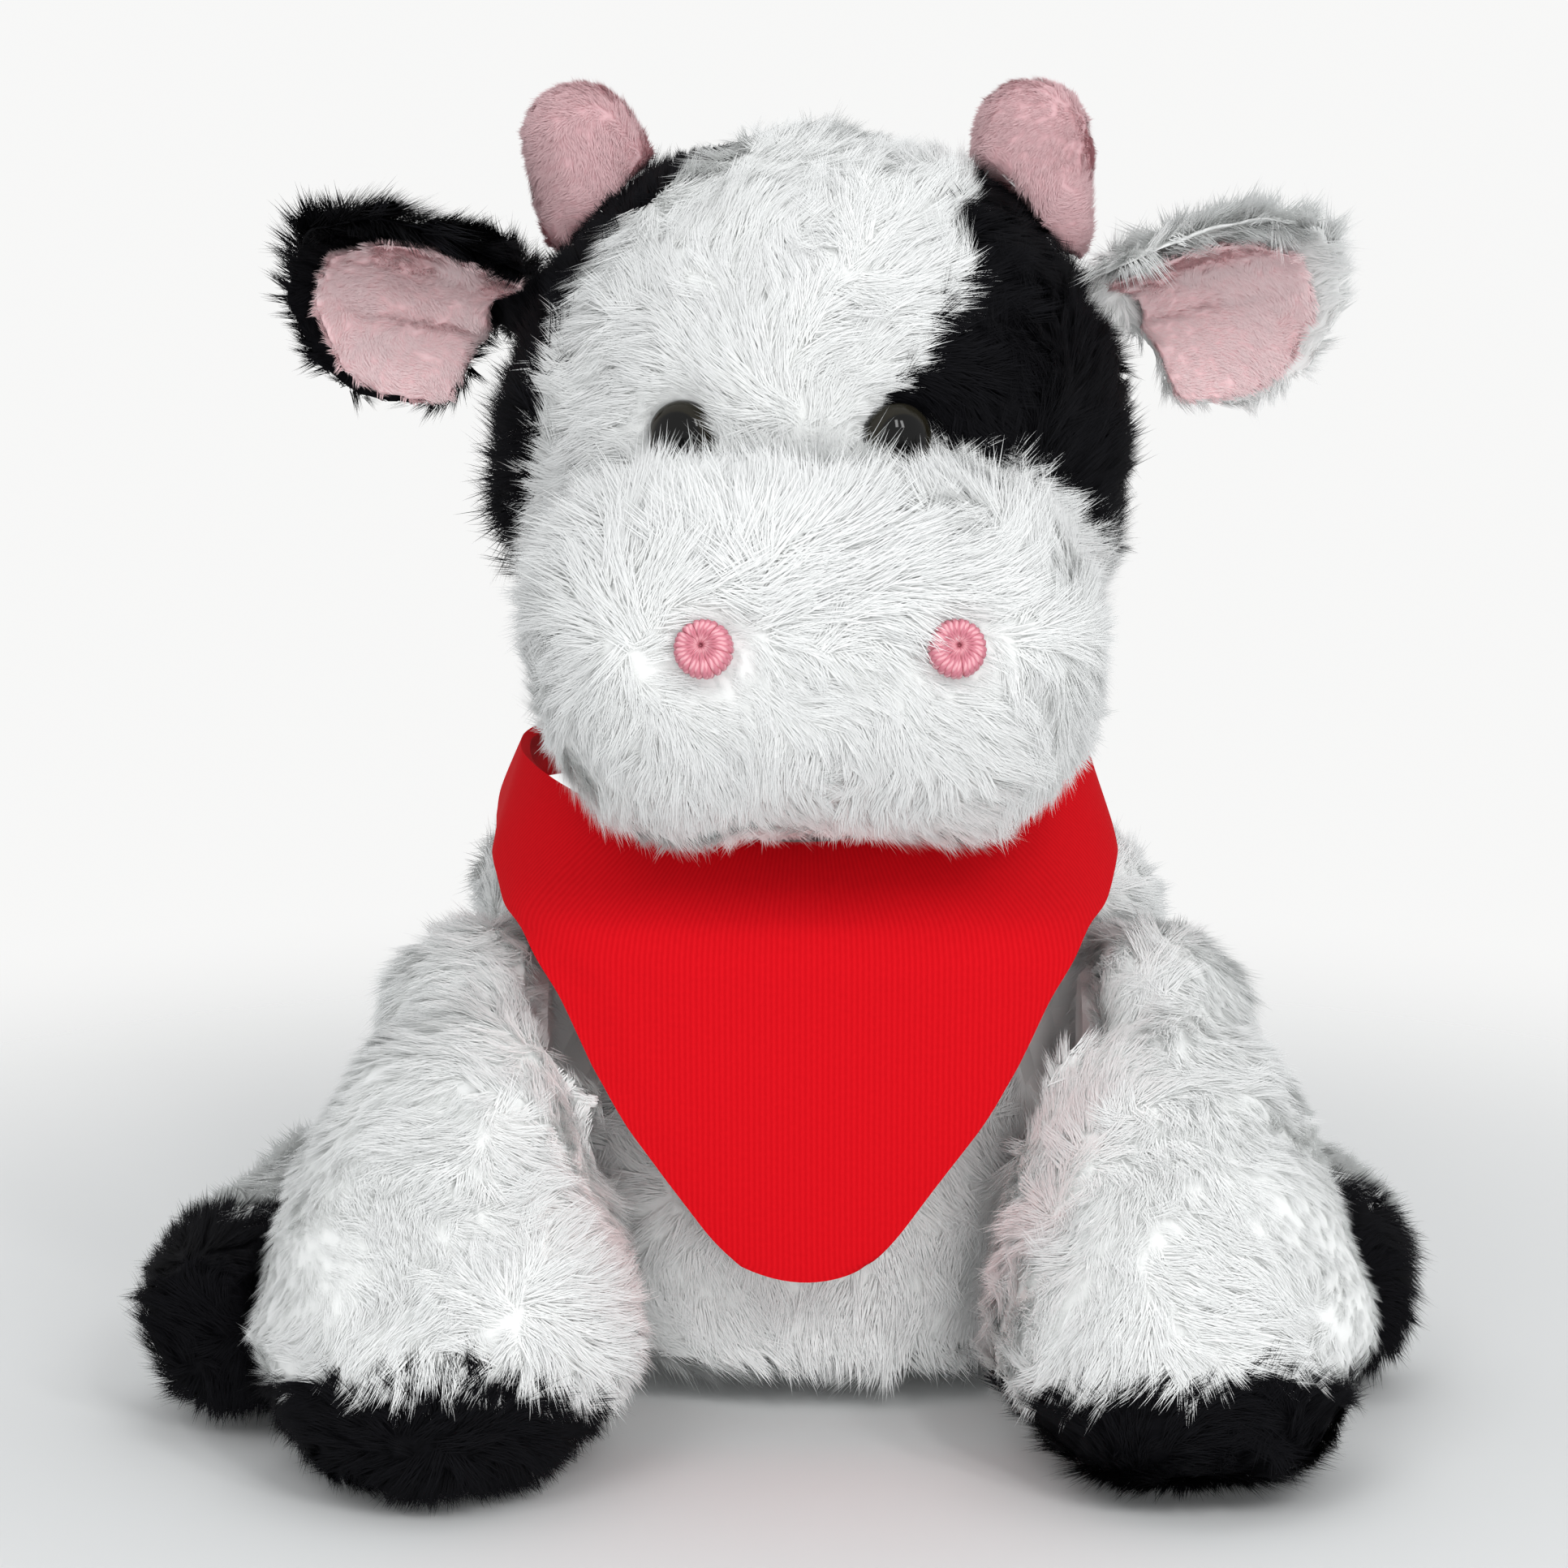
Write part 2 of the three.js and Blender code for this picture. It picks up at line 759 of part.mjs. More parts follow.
const sockets = [];
for (const [name, side] of bothSides) {
  for (const [kind, leg, radius, hoofShare] of [
    ["front", frontLegs[name], legRootRadius, legHoofShare],
    ["hind", hindLegs[name], hindRootRadius, hindHoofShare],
  ]) {
    const mouth = mouthOf(leg.root, radius, side);
    const { outer, hollow, fibre } = leg.layers;
    const skin = minus(outer, hollow, mouth, belowFloor);
    const { spine } = leg.shape;
    addPiece(`${kind}_leg_${name}_skin`, "white", minus(skin, pastStation(spine, hoofShare, 0)));
    addPiece(`${kind}_hoof_${name}`, "black", skin.intersect(pastStation(spine, hoofShare, gap)));
    addPiece(`${kind}_leg_${name}_stuffing`, "fibre", minus(fibre, mouth));
    sockets.push(ballRoom(leg.root, radius + gap, plain));
  }
}

// Tail: a short plush tube with a tuft, hung from the back
const torsoForm = softForm(torsoShape, fine);
const tailRoot = seatOn(torsoForm, at(0, farAway, tailRootHeight), Y.clone().negate()).point;
const tailEnd = at(0, tailRoot.y + tailReach, tailTuftLength / 2 + soleFlat + gap);
const tailShape = {
  spine: new THREE.QuadraticBezierCurve3(tailRoot, at(0, tailEnd.y, tailRootHeight), tailEnd),
  across: X,
  width: tailDiameter,
  depth: tailDiameter,
  shares: tailShares,
  ends: tailEndShares,
};
const tuftShape = {
  spine: new THREE.LineCurve3(
    tailEnd.clone().addScaledVector(Z, tailTuftLength / 2),
    tailEnd.clone().addScaledVector(Z, -tailTuftLength / 2),
  ),
  across: X,
  width: tailTuftDiameter,
  depth: tailTuftDiameter,
  shares: tuftShares,
  ends: tuftEndShares,
};
const swingFree = (solid) =>
  cutFree(solid, room(torsoShape, gap), tailRoot, Y, -tailSwing, tailSwing);
const tailLimb = swingFree(layer(tailShape, slim, 0));
addPiece("tail", "white", plus(tailLimb, ball(tailRoot, tailRootRadius, small)));
addPiece(
  "tail_tuft",
  "black",
  swingFree(minus(layer(tuftShape, slim, 0), layer(tailShape, slim, gap), belowFloor)),
);
sockets.push(ballRoom(tailRoot, tailRootRadius + gap, small));

// Torso: skin, fibre and the pellet bag in the seat, which lies in a recess open at the bottom
const pelletFoot = at(0, -seatForward, wideGap + gap);
const pelletShape = {
  spine: new THREE.LineCurve3(pelletFoot, pelletFoot.clone().setZ(pelletFoot.z + pelletHeight)),
  across: X,
  width: pelletWidth,
  depth: pelletDepth,
  shares: pelletShares,
  ends: pelletEndShares,
};
const recess = new THREE.CylinderGeometry(pelletWidth / 2, pelletWidth / 2, pelletHeight, small[1])
  .rotateX(Math.PI / 2)
  .scale(pelletMouthShare, (pelletMouthShare * pelletDepth) / pelletWidth, 1)
  .translate(...pelletFoot);
const torsoSkin = minus(torsoLayer(fine, 0), bandRoom, torsoLayer(plain, plushWall), belowFloor);
addPiece("torso_skin", "white", minus(torsoSkin, ...sockets));
addPiece(
  "torso_stuffing",
  "fibre",
  minus(torsoLayer(plain, wideGap), solidOf(recess), layer(pelletShape, plain, gap), ...sockets),
);
addPiece("pellet_bag", "bag", minus(layer(pelletShape, plain, 0), ...sockets));

// What is cut out of the head's skin and of its stuffing
const skinCuts = [];
const fibreCuts = [];

// Eyes
const flat = (x, y) => new THREE.Vector2(x, y);
for (const [name, side] of bothSides) {
  const x = eyeShift + (side * eyeSpacing) / 2;
  const seat = seatOn(headForm, at(x, -farAway, headLow + eyeHeight), Y);
  const axis = seat.normal;
  const back = seat.point.clone().addScaledVector(axis, -eyeSink);
  const shank = shankDiameter / 2;
  const lathe = (points, place, sides) => solidOf(turned(points, place, axis, sides));
  const eye = (spread, sides) => {
    const radius = eyeDiameter / 2 + spread;
    const domed = Array.from({ length: domeSteps }, (_, i) => {
      const a = ((i / domeSteps) * Math.PI) / 2;
      return flat(radius * Math.cos(a), eyeRim + (eyeDome - eyeRim + spread) * Math.sin(a));
    });
    const foot = [
      flat(0, -shankLength - spread),
      flat(shank + spread, -shankLength - spread),
      flat(shank + spread, -spread),
      flat(radius, -spread),
    ];
    return lathe([...foot, ...domed, flat(0, eyeDome + spread)], back, sides);
  };
  const washerPlace = back
    .clone()
    .addScaledVector(axis, eyeSink - plushWall - washerSlack - washerThickness);
  const washer = (spread, hole) => {
    const rim = washerDiameter / 2 + spread;
    const high = washerThickness + spread;
    const corners = [flat(hole, -spread), flat(rim, -spread), flat(rim, high), flat(hole, high)];
    return lathe([...corners, corners[0]], washerPlace);
  };
  const parting = eyeDiameter / 2 + gap;
  const funnel = [
    flat(0, 0),
    flat(parting, 0),
    flat(parting + eyeSink, eyeSink + overrun),
    flat(0, eyeSink + overrun),
  ];
  addPiece(`eye_${name}`, "eye", eye(0, eyeSides));
  addPiece(`eye_washer_${name}`, "washer", washer(0, shank + gap));
  skinCuts.push(eye(gap), lathe(funnel, back), washer(gap, shank));
  fibreCuts.push(eye(gap), washer(gap, shank));
}

// Horns
const hornRooms = {};
for (const [name, side] of bothSides) {
  const aside = (side * headWidth * hornSpacingShare) / 2;
  const over = at(aside, neckBack + hornBack, 2 * farAway);
  const seat = seatOn(headForm, over, Z.clone().negate()).point;
  const tilt = radians(hornTilts[name]);
  const along = at(side * Math.sin(tilt), 0, Math.cos(tilt));
  const base = seat.clone().addScaledVector(along, -hornRoot);
  const shape = {
    spine: new THREE.LineCurve3(base, base.clone().addScaledVector(along, hornLength)),
    across: X,
    width: hornWidth,
    depth: hornDepth,
    shares: hornShares,
    ends: hornEndShares,
  };
  hornRooms[name] = room(shape, gap);
  const clear = layer(headShape, fine, gap);
  const shell = minus(layer(shape, small, 0), layer(shape, small, -velourWall));
  addPiece(`horn_${name}_skin`, "pink", minus(shell, clear));
  addPiece(`horn_${name}_stuffing`, "fibre", minus(layer(shape, small, -velourWall - gap), clear));
}

// Ears
const readEar = reader(earShares);
const earRoots = {};
for (const [name, side] of bothSides) {
  const beside = at(side * farAway, neckBack + earBack, headLow + headHeight * earHeightShare);
  const seat = seatOn(headForm, beside, X.clone().multiplyScalar(-side));
  const root = seat.point.clone().addScaledVector(seat.normal, -earRootDepth);
  earRoots[name] = root;
  const [rise, forward, turn] = [earRise, earForward, earTurn].map(radians);
  const along = at(
    side * Math.cos(rise) * Math.cos(forward),
    -Math.cos(rise) * Math.sin(forward),
    Math.sin(rise),
  );
  const facing = at(0, -Math.cos(turn), -Math.sin(turn));
  facing.addScaledVector(along, -facing.dot(along)).normalize();
  const across = along.clone().cross(facing);
  // A point of the leaf at a distance inside it, with shares along and across it
  const leafPoint = (share, drop, u, v, inside) => {
    const bend = radians(earFold) * THREE.MathUtils.lerp(1, earOpenShare, u);
    const radius = ((earWidth / 2) * readEar(u)[0]) / bend;
    const angle = (v * share + side * drop) * bend;
    return root
      .clone()
      .addScaledVector(along, earLength * u * share)
      .addScaledVector(across, (radius - inside) * Math.sin(angle))
      .addScaledVector(facing, radius - (radius - inside) * Math.cos(angle));
  };
  const leaf = (share, drop, inside, thickness) => {
    const grid = Array.from({ length: earRows }, (_, i) =>
      Array.from({ length: earColumns }, (_, j) =>
        leafPoint(share, drop, i / (earRows - 1), (2 * j) / (earColumns - 1) - 1, inside),
      ),
    );
    const solid = sheet(grid, false, thickness, earThinning);
    return cutFree(solid, plus(room(headShape, gap), hornRooms[name]), root, Y, -earFlap, earFlap);
  };
  const socket = ballRoom(root, earRootRadius + gap, small);
  const wholeBall = ball(root, earRootRadius, small);
  const rootBall = cutFree(wholeBall, hornRooms[name], root, Y, -earFlap, earFlap);
  const outer = plus(leaf(1, 0, 0, earThickness), rootBall);
  const lining = leaf(liningShare, liningDrop, gap + velourWall, velourWall);
  addPiece(`ear_${name}_outer`, side > 0 ? "white" : "black", outer);
  addPiece(`ear_${name}_lining`, "pink", minus(lining, socket));
  skinCuts.push(socket);
  fibreCuts.push(socket);
}

// Head: a skin sewn from three panels round one stuffing
const neckSocket = ballRoom(neckCentre, neckRadius + gap, plain);
const headHollow = layer(headShape, plain, -plushWall);
const headShell = minus(layer(headShape, fine, 0), headHollow, neckSocket, ...skinCuts);

// A panel's outline in shares of a half width and of the head's height, pulled through half the head
function panel(shares, half, depth) {
  const points = shares.map(([a, b]) => flat(a * half, headLow + b * headHeight));
  const outline = new THREE.SplineCurve([...points, points[0]]).getPoints(panelPoints);
  const geometry = new THREE.ExtrudeGeometry(new THREE.Shape(outline), { depth, bevelEnabled: false });
  return geometry.rotateX(Math.PI / 2);
}
const eyePatch = panel(eyePatchShares, headWidth / 2, headDepth / 2 + overrun + eyePatchBack);
eyePatch.translate(0, neckBack + eyePatchBack, 0);
const sidePatch = panel(sidePatchShares, headDepth / 2, headWidth / 2 + overrun);
sidePatch.rotateZ(Math.PI / 2).translate(-headWidth / 2 - overrun, neckBack, 0);
const panels = [eyePatch, sidePatch];
const whiteShell = minus(headShell, ...panels.map((region) => solidOf(grown(region, gap))));
addPiece("head_skin", "white", whiteShell);
addPiece("eye_patch", "black", headShell.intersect(solidOf(eyePatch)));
addPiece("side_patch", "black", headShell.intersect(solidOf(sidePatch)));
addPiece("head_stuffing", "fibre", minus(layer(headShape, plain, -wideGap), neckSocket, ...fibreCuts));

// Muzzle with its nostrils
const rosetteRooms = [];
for (const [name, side] of bothSides) {
  const x = rosetteShift + (side * rosetteSpacing) / 2;
  const seat = seatOn(muzzleForm, at(x, -farAway, muzzleMiddle.z + rosetteHeight), Y);
  const back = seat.point.clone().addScaledVector(seat.normal, -rosetteSink);
  const radius = rosetteDiameter / 2;
  const crown = new THREE.CubicBezierCurve(
    flat(radius, rosetteThickness * crownShare),
    flat(radius, rosetteThickness),
    flat(radius / 2, rosetteThickness * (1 + crownShare)),
    flat(0, rosetteThickness - rosetteDimple),
  ).getPoints(crownSteps);
  const rosette = [flat(0, 0), flat(radius, 0), ...crown];
  const well = [flat(0, -gap), flat(radius + gap, -gap), flat(radius + gap, overrun), flat(0, overrun)];
  addPiece(`nostril_${name}`, "yarn", solidOf(turned(rosette, back, seat.normal)));
  rosetteRooms.push(solidOf(turned(well, back, seat.normal)));
}
const muzzleLayer = (grain, distance) =>
  minus(layer(muzzleShape, grain, -distance), layer(headShape, fine, gap));
addPiece(
  "muzzle_skin",
  "white",
  minus(muzzleLayer(fine, 0), layer(muzzleShape, plain, -plushWall), ...rosetteRooms),
);
addPiece("muzzle_stuffing", "fibre", muzzleLayer(plain, wideGap));

// The origin is the middle of the ground that the whole toy covers
const bounds = new THREE.Box3().setFromObject(group);
const shift = bounds.getCenter(at(0, 0, 0)).negate().setZ(-bounds.min.z);
group.position.copy(shift);

// Places of the joints in the part's own frame, in metres, as the record gives them
const metres = (place) => {
  const moved = place.clone().add(shift).divideScalar(millimetresPerMetre);
  return moved.toArray().map((value) => Number(value.toFixed(decimals)));
};
const joints = {
  head: metres(neckCentre),
  front_legs: [frontLegs.left.root, frontLegs.right.root].map(metres),
  hind_legs: [hindLegs.left.root, hindLegs.right.root].map(metres),
  ears: [earRoots.left, earRoots.right].map(metres),
  tail: metres(tailRoot),
  flap: metres(at(bandanaShift, neckBack - bandForward, flapTop)),
  seat: metres(at(0, -seatForward, soleFlat)),
};
console.log(JSON.stringify({ ...joints, shift: shift.toArray() }));

export default group;
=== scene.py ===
# %% [markdown]
# # A plush cow with a bandana
#
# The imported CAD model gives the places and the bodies. This scene dresses them: each stuffed part gets a
# cloth skin with standing pile on it, the bandana is one sheet of knitted cloth, the nostrils are wound
# from yarn, and everything gets its material. Lengths are in metres.

import json
import math
import random

import bmesh
import bpy
import numpy as np
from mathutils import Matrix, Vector, noise
from mathutils.bvhtree import BVHTree

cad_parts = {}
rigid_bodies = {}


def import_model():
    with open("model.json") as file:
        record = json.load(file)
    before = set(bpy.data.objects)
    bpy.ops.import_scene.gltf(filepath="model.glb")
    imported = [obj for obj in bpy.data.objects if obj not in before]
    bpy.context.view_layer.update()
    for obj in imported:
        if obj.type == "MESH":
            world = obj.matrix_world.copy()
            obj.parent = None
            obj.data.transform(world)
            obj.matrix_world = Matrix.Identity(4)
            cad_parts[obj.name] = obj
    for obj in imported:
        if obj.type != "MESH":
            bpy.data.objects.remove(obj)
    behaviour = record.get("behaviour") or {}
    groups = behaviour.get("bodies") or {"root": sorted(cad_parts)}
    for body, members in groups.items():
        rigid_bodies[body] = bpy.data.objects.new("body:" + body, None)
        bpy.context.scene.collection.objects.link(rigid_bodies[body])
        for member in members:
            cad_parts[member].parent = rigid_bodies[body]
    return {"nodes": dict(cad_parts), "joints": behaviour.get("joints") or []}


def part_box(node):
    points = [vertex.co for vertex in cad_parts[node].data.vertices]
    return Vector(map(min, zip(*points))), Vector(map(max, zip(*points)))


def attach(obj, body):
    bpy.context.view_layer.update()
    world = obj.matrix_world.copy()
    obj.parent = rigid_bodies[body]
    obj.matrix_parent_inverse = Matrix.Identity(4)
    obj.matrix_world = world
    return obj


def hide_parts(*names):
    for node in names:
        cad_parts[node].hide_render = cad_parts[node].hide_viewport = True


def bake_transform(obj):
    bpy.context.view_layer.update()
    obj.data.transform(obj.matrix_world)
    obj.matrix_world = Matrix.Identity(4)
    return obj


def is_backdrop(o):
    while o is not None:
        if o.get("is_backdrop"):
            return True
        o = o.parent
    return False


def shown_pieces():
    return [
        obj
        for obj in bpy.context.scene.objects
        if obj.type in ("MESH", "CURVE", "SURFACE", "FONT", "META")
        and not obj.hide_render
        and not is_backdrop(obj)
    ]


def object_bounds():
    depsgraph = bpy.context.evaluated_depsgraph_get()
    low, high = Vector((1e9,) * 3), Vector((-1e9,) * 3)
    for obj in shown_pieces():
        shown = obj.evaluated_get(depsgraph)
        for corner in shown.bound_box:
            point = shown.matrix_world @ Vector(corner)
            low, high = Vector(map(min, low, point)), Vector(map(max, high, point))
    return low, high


bpy.ops.wm.read_factory_settings(use_empty=True)
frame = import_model()
nodes = frame["nodes"]
joints = {joint["name"]: joint for joint in frame["joints"]}
low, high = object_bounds()
print("frame loaded with", len(nodes), "nodes, size", [round(v, 4) for v in high - low])

# %% [markdown]
# ## Camera
#
# The photograph looks slightly down on the cow from its front. The neck's joint marks the middle of the
# cow, and the camera is placed from there.

# %% Camera
NECK = Vector(joints["head_turn"]["pos_m"])
TARGET = NECK + Vector((-0.0055, -0.001, 0.013))
ELEVATION = math.radians(12)
DISTANCE = 1.0135
PHOTO_PIXELS = 1932
FOCAL_PIXELS = 6786
SENSOR_MM = 36

scene = bpy.context.scene
camera_data = bpy.data.cameras.new("camera")
camera = bpy.data.objects.new("camera", camera_data)
scene.collection.objects.link(camera)
scene.camera = camera
back = Vector((0, -math.cos(ELEVATION), math.sin(ELEVATION)))
camera.location = TARGET + back * DISTANCE
camera.rotation_euler = (-back).to_track_quat("-Z", "Y").to_euler()
camera_data.sensor_width = SENSOR_MM
camera_data.lens = SENSOR_MM * FOCAL_PIXELS / PHOTO_PIXELS
scene.view_settings.view_transform = "Standard"
print("camera at", [round(v, 3) for v in camera.location])

# %% [markdown]
# ## Light and floor
#
# A white studio: large soft lights above, in front and at one side, two narrow windows that show in
# the eyes, and a floor that fades into a white background. Only camera, mirror and glass rays see the
# white background itself.


# %% Light and floor
# Name, place, diameter and watts
SOFT_LIGHTS = (
    ("key_light", (-0.55, -1.1, 1.25), 0.9, 4.5),
    ("fill_light", (0.25, -1.4, 0.16), 0.8, 6.5),
    ("top_light", (0.1, 0.3, 1.5), 1.2, 3),
)
# Name and place across
WINDOWS = (("window_left", 0.42), ("window_right", 0.8))
WINDOW_WIDTH = 0.16
WINDOW_HEIGHT = 0.5
WINDOW_WATTS = 3
FLOOR_SIZE = 2.4
FLOOR_DROP = 0.0006
FADE_START = 0.14
FADE_END = 0.38


def maths(tree, operation, *values):
    """A maths node on some values. Each is a number or what another node gives."""
    node = tree.nodes.new("ShaderNodeMath")
    node.operation = operation
    for socket, value in zip(node.inputs, values):
        if isinstance(value, (int, float)):
            socket.default_value = value
        else:
            tree.links.new(value, socket)
    return node.outputs[0]


def area_light(name, place, size, watts):
    data = bpy.data.lights.new(name, "AREA")
    data.shape = "DISK"
    data.size = size
    data.energy = watts
    light = bpy.data.objects.new(name, data)
    light.location = place
    light.rotation_euler = (NECK - Vector(place)).to_track_quat("-Z", "Y").to_euler()
    scene.collection.objects.link(light)
    return light


for name, place, size, watts in SOFT_LIGHTS:
    area_light(name, place, size, watts).visible_glossy = False
for name, x in WINDOWS:
    window = area_light(name, (x, -1.1, 1.05), WINDOW_WIDTH, WINDOW_WATTS)
    window.data.shape = "RECTANGLE"
    window.data.size_y = WINDOW_HEIGHT

world = bpy.data.worlds.new("studio")
scene.world = world
world.use_nodes = True
tree = world.node_tree
tree.nodes.clear()
output = tree.nodes.new("ShaderNodeOutputWorld")
soft_sky = tree.nodes.new("ShaderNodeBackground")
soft_sky.inputs["Color"].default_value = (0.97, 0.985, 1.0, 1)
soft_sky.inputs["Strength"].default_value = 0.57
white_sky = tree.nodes.new("ShaderNodeBackground")
white_sky.inputs["Color"].default_value = (0.935, 0.935, 0.93, 1)
rays = tree.nodes.new("ShaderNodeLightPath")
sees_white = maths(tree, "MAXIMUM", rays.outputs["Is Camera Ray"], rays.outputs["Is Glossy Ray"])
sees_white = maths(tree, "MAXIMUM", sees_white, rays.outputs["Is Transmission Ray"])
choose = tree.nodes.new("ShaderNodeMixShader")
tree.links.new(sees_white, choose.inputs["Fac"])
tree.links.new(soft_sky.outputs[0], choose.inputs[1])
tree.links.new(white_sky.outputs[0], choose.inputs[2])
tree.links.new(choose.outputs[0], output.inputs["Surface"])

bpy.ops.mesh.primitive_plane_add(size=FLOOR_SIZE, location=(0, 0, -FLOOR_DROP))
floor = bpy.context.object
floor.name = "floor"
floor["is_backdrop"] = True
floor_material = bpy.data.materials.new("floor_paper")
floor_material.use_nodes = True
tree = floor_material.node_tree
paper = tree.nodes["Principled BSDF"]
paper.inputs["Base Color"].default_value = (0.79, 0.80, 0.80, 1)
paper.inputs["Roughness"].default_value = 0.9
here = tree.nodes.new("ShaderNodeTexCoord")
reach = tree.nodes.new("ShaderNodeVectorMath")
reach.operation = "LENGTH"
fade = tree.nodes.new("ShaderNodeMapRange")
fade.interpolation_type = "SMOOTHSTEP"
fade.inputs["From Min"].default_value = FADE_START
fade.inputs["From Max"].default_value = FADE_END
clear = tree.nodes.new("ShaderNodeBsdfTransparent")
blend = tree.nodes.new("ShaderNodeMixShader")
tree.links.new(here.outputs["Object"], reach.inputs[0])
tree.links.new(reach.outputs["Value"], fade.inputs["Value"])
tree.links.new(fade.outputs["Result"], blend.inputs["Fac"])
tree.links.new(paper.outputs[0], blend.inputs[1])
tree.links.new(clear.outputs[0], blend.inputs[2])
tree.links.new(blend.outputs[0], tree.nodes["Material Output"].inputs["Surface"])
floor.data.materials.append(floor_material)
print("five lights, a white background and a floor")

# %% [markdown]
# ## Materials
#
# Each material is one Principled shader. The pile's colour runs from its root to its tip along the map
# that every hair carries, darker at the root as painted shade deep in the pile, and differs a little from
# hair to hair. Cloth patterns read the map that each piece carries.


# %% Materials
def new_material(name, roughness, specular=0.5):
    material = bpy.data.materials.new(name)
    material.use_nodes = True
    shader = material.node_tree.nodes["Principled BSDF"]
    shader.inputs["Roughness"].default_value = roughness
    shader.inputs["Specular IOR Level"].default_value = specular
    return material, material.node_tree, shader


def ramp_between(tree, value, first, second, start=0.0, end=1.0):
    ramp = tree.nodes.new("ShaderNodeValToRGB")
    ramp.color_ramp.elements[0].position = start
    ramp.color_ramp.elements[0].color = (*first, 1)
    ramp.color_ramp.elements[1].position = end
    ramp.color_ramp.elements[1].color = (*second, 1)
    tree.links.new(value, ramp.inputs["Fac"])
    return ramp.outputs["Color"]


def map_parts(tree):
    """The map that a piece carries, and its two directions."""
    carried = tree.nodes.new("ShaderNodeUVMap")
    carried.uv_map = "OFBake"
    parts = tree.nodes.new("ShaderNodeSeparateXYZ")
    tree.links.new(carried.outputs["UV"], parts.inputs["Vector"])
    return carried.outputs["UV"], parts.outputs["X"], parts.outputs["Y"]


def bump_from(tree, shader, height, strength, distance):
    """Small relief in a material, from the height that another node gives."""
    bump = tree.nodes.new("ShaderNodeBump")
    bump.inputs["Strength"].default_value = strength
    bump.inputs["Distance"].default_value = distance
    tree.links.new(height, bump.inputs["Height"])
    tree.links.new(bump.outputs["Normal"], shader.inputs["Normal"])


def pile_material(name, root, tip, tone, roughness, specular):
    """Hair that is darker at its root, a painted shade deep in the pile, and in tones that differ from
    hair to hair.
    """
    material, tree, shader = new_material(name, roughness, specular)
    _, across, up = map_parts(tree)
    # The root end is darker: painted shade deep in the pile
    along = ramp_between(tree, up, root, tip, 0.0, 0.6)
    shade = ramp_between(tree, across, (tone, tone, tone), (1, 1, 1))
    mixed = tree.nodes.new("ShaderNodeMix")
    mixed.data_type = "RGBA"
    mixed.blend_type = "MULTIPLY"
    mixed.inputs["Factor"].default_value = 1
    tree.links.new(along, mixed.inputs["A"])
    tree.links.new(shade, mixed.inputs["B"])
    tree.links.new(mixed.outputs["Result"], shader.inputs["Base Color"])
    return material


WHITE = pile_material("white_pile", (0.91, 0.92, 0.91), (0.94, 0.95, 0.945), 0.965, 0.85, 0.15)
BLACK = pile_material("black_pile", (0.003, 0.003, 0.004), (0.008, 0.008, 0.01), 0.6, 0.75, 0.08)
PINK = pile_material("pink_pile", (0.72, 0.46, 0.485), (0.80, 0.55, 0.57), 0.94, 0.85, 0.15)
PALE_PINK = pile_material("pale_pink_pile", (0.90, 0.64, 0.66), (0.95, 0.76, 0.77), 0.94, 0.85, 0.15)
print("materials for the white, black and pink pile")

# %% [markdown]
# ## Hairs
#
# A tuft is twenty thin hairs, each one triangle. They leave one patch of cloth and lie over to one
# side. Those that start higher lie flatter, so the outside is smooth. A few kinds are enough: the
# scattering turns and scales them. Each hair has its own column in the map that the pile's colour reads:
# across for its tone, up from root to tip.


# %% Hairs
TUFT_KINDS = 4
HAIRS = 20
TUFT_SEED = 5
COLUMNS = TUFT_KINDS * HAIRS + 1
hidden = bpy.data.collections.new("tuft_sources")
scene.collection.children.link(hidden)


def mapped_object(name, points, faces, maps):
    """An object with the map that its material reads. The map has a place for each corner of each face."""
    mesh = bpy.data.meshes.new(name)
    mesh.from_pydata(points, [], faces)
    layer = mesh.uv_layers.new(name="OFBake")
    for loop, place in zip(layer.data, maps):
        loop.uv = place
    return bpy.data.objects.new(name, mesh)


def shade_smooth(obj):
    for face in obj.data.polygons:
        face.use_smooth = True


def tuft_kind(name, kind, length, width, spread, lean, rise, gather):
    """One tuft. It leaves the cloth along +Z and bends over towards +X."""
    chance = random.Random(TUFT_SEED + kind)
    points, faces, maps = [], [], []
    for hair in range(HAIRS):
        a, r = chance.uniform(0, 2 * math.pi), spread * math.sqrt(chance.random())
        level = chance.random() ** 1.5
        root = Vector((r * math.cos(a), r * math.sin(a), 0.32 * rise * level * length))
        reach = chance.uniform(0.6, 1.0) * length
        aside = Vector([chance.uniform(-0.12, 0.12) * length for _ in range(3)])
        tip = Vector((lean * reach, 0, (1.05 - 0.5 * level) * rise * reach)) + aside
        tip += Vector((root.x, root.y, 0)) * gather + Vector((0, 0, root.z))
        turn = chance.uniform(-0.4, 0.4)
        side = Vector((math.sin(turn), math.cos(turn), chance.uniform(-0.15, 0.15))) * (width / 2)
        first = len(points)
        points += [root + side, root - side, tip]
        faces.append((first, first + 1, first + 2))
        column = (kind * HAIRS + hair) * 13 % (COLUMNS - 1)
        left, right = (column + 0.1) / COLUMNS, (column + 0.9) / COLUMNS
        maps += [(left, 0.02), (right, 0.02), ((left + right) / 2, 0.98)]
    return mapped_object(name, points, faces, maps)


def tuft_collection(name, **shape):
    collection = bpy.data.collections.new(name)
    hidden.children.link(collection)
    for kind in range(TUFT_KINDS):
        collection.objects.link(tuft_kind(f"{name}_{kind}", kind, **shape))
    return collection


long_tufts = tuft_collection(
    "long", length=0.0076, width=0.00024, spread=0.0014, lean=0.85, rise=0.46, gather=0.75
)
short_tufts = tuft_collection(
    "short", length=0.0021, width=0.00016, spread=0.0009, lean=0.76, rise=0.5, gather=0.9
)

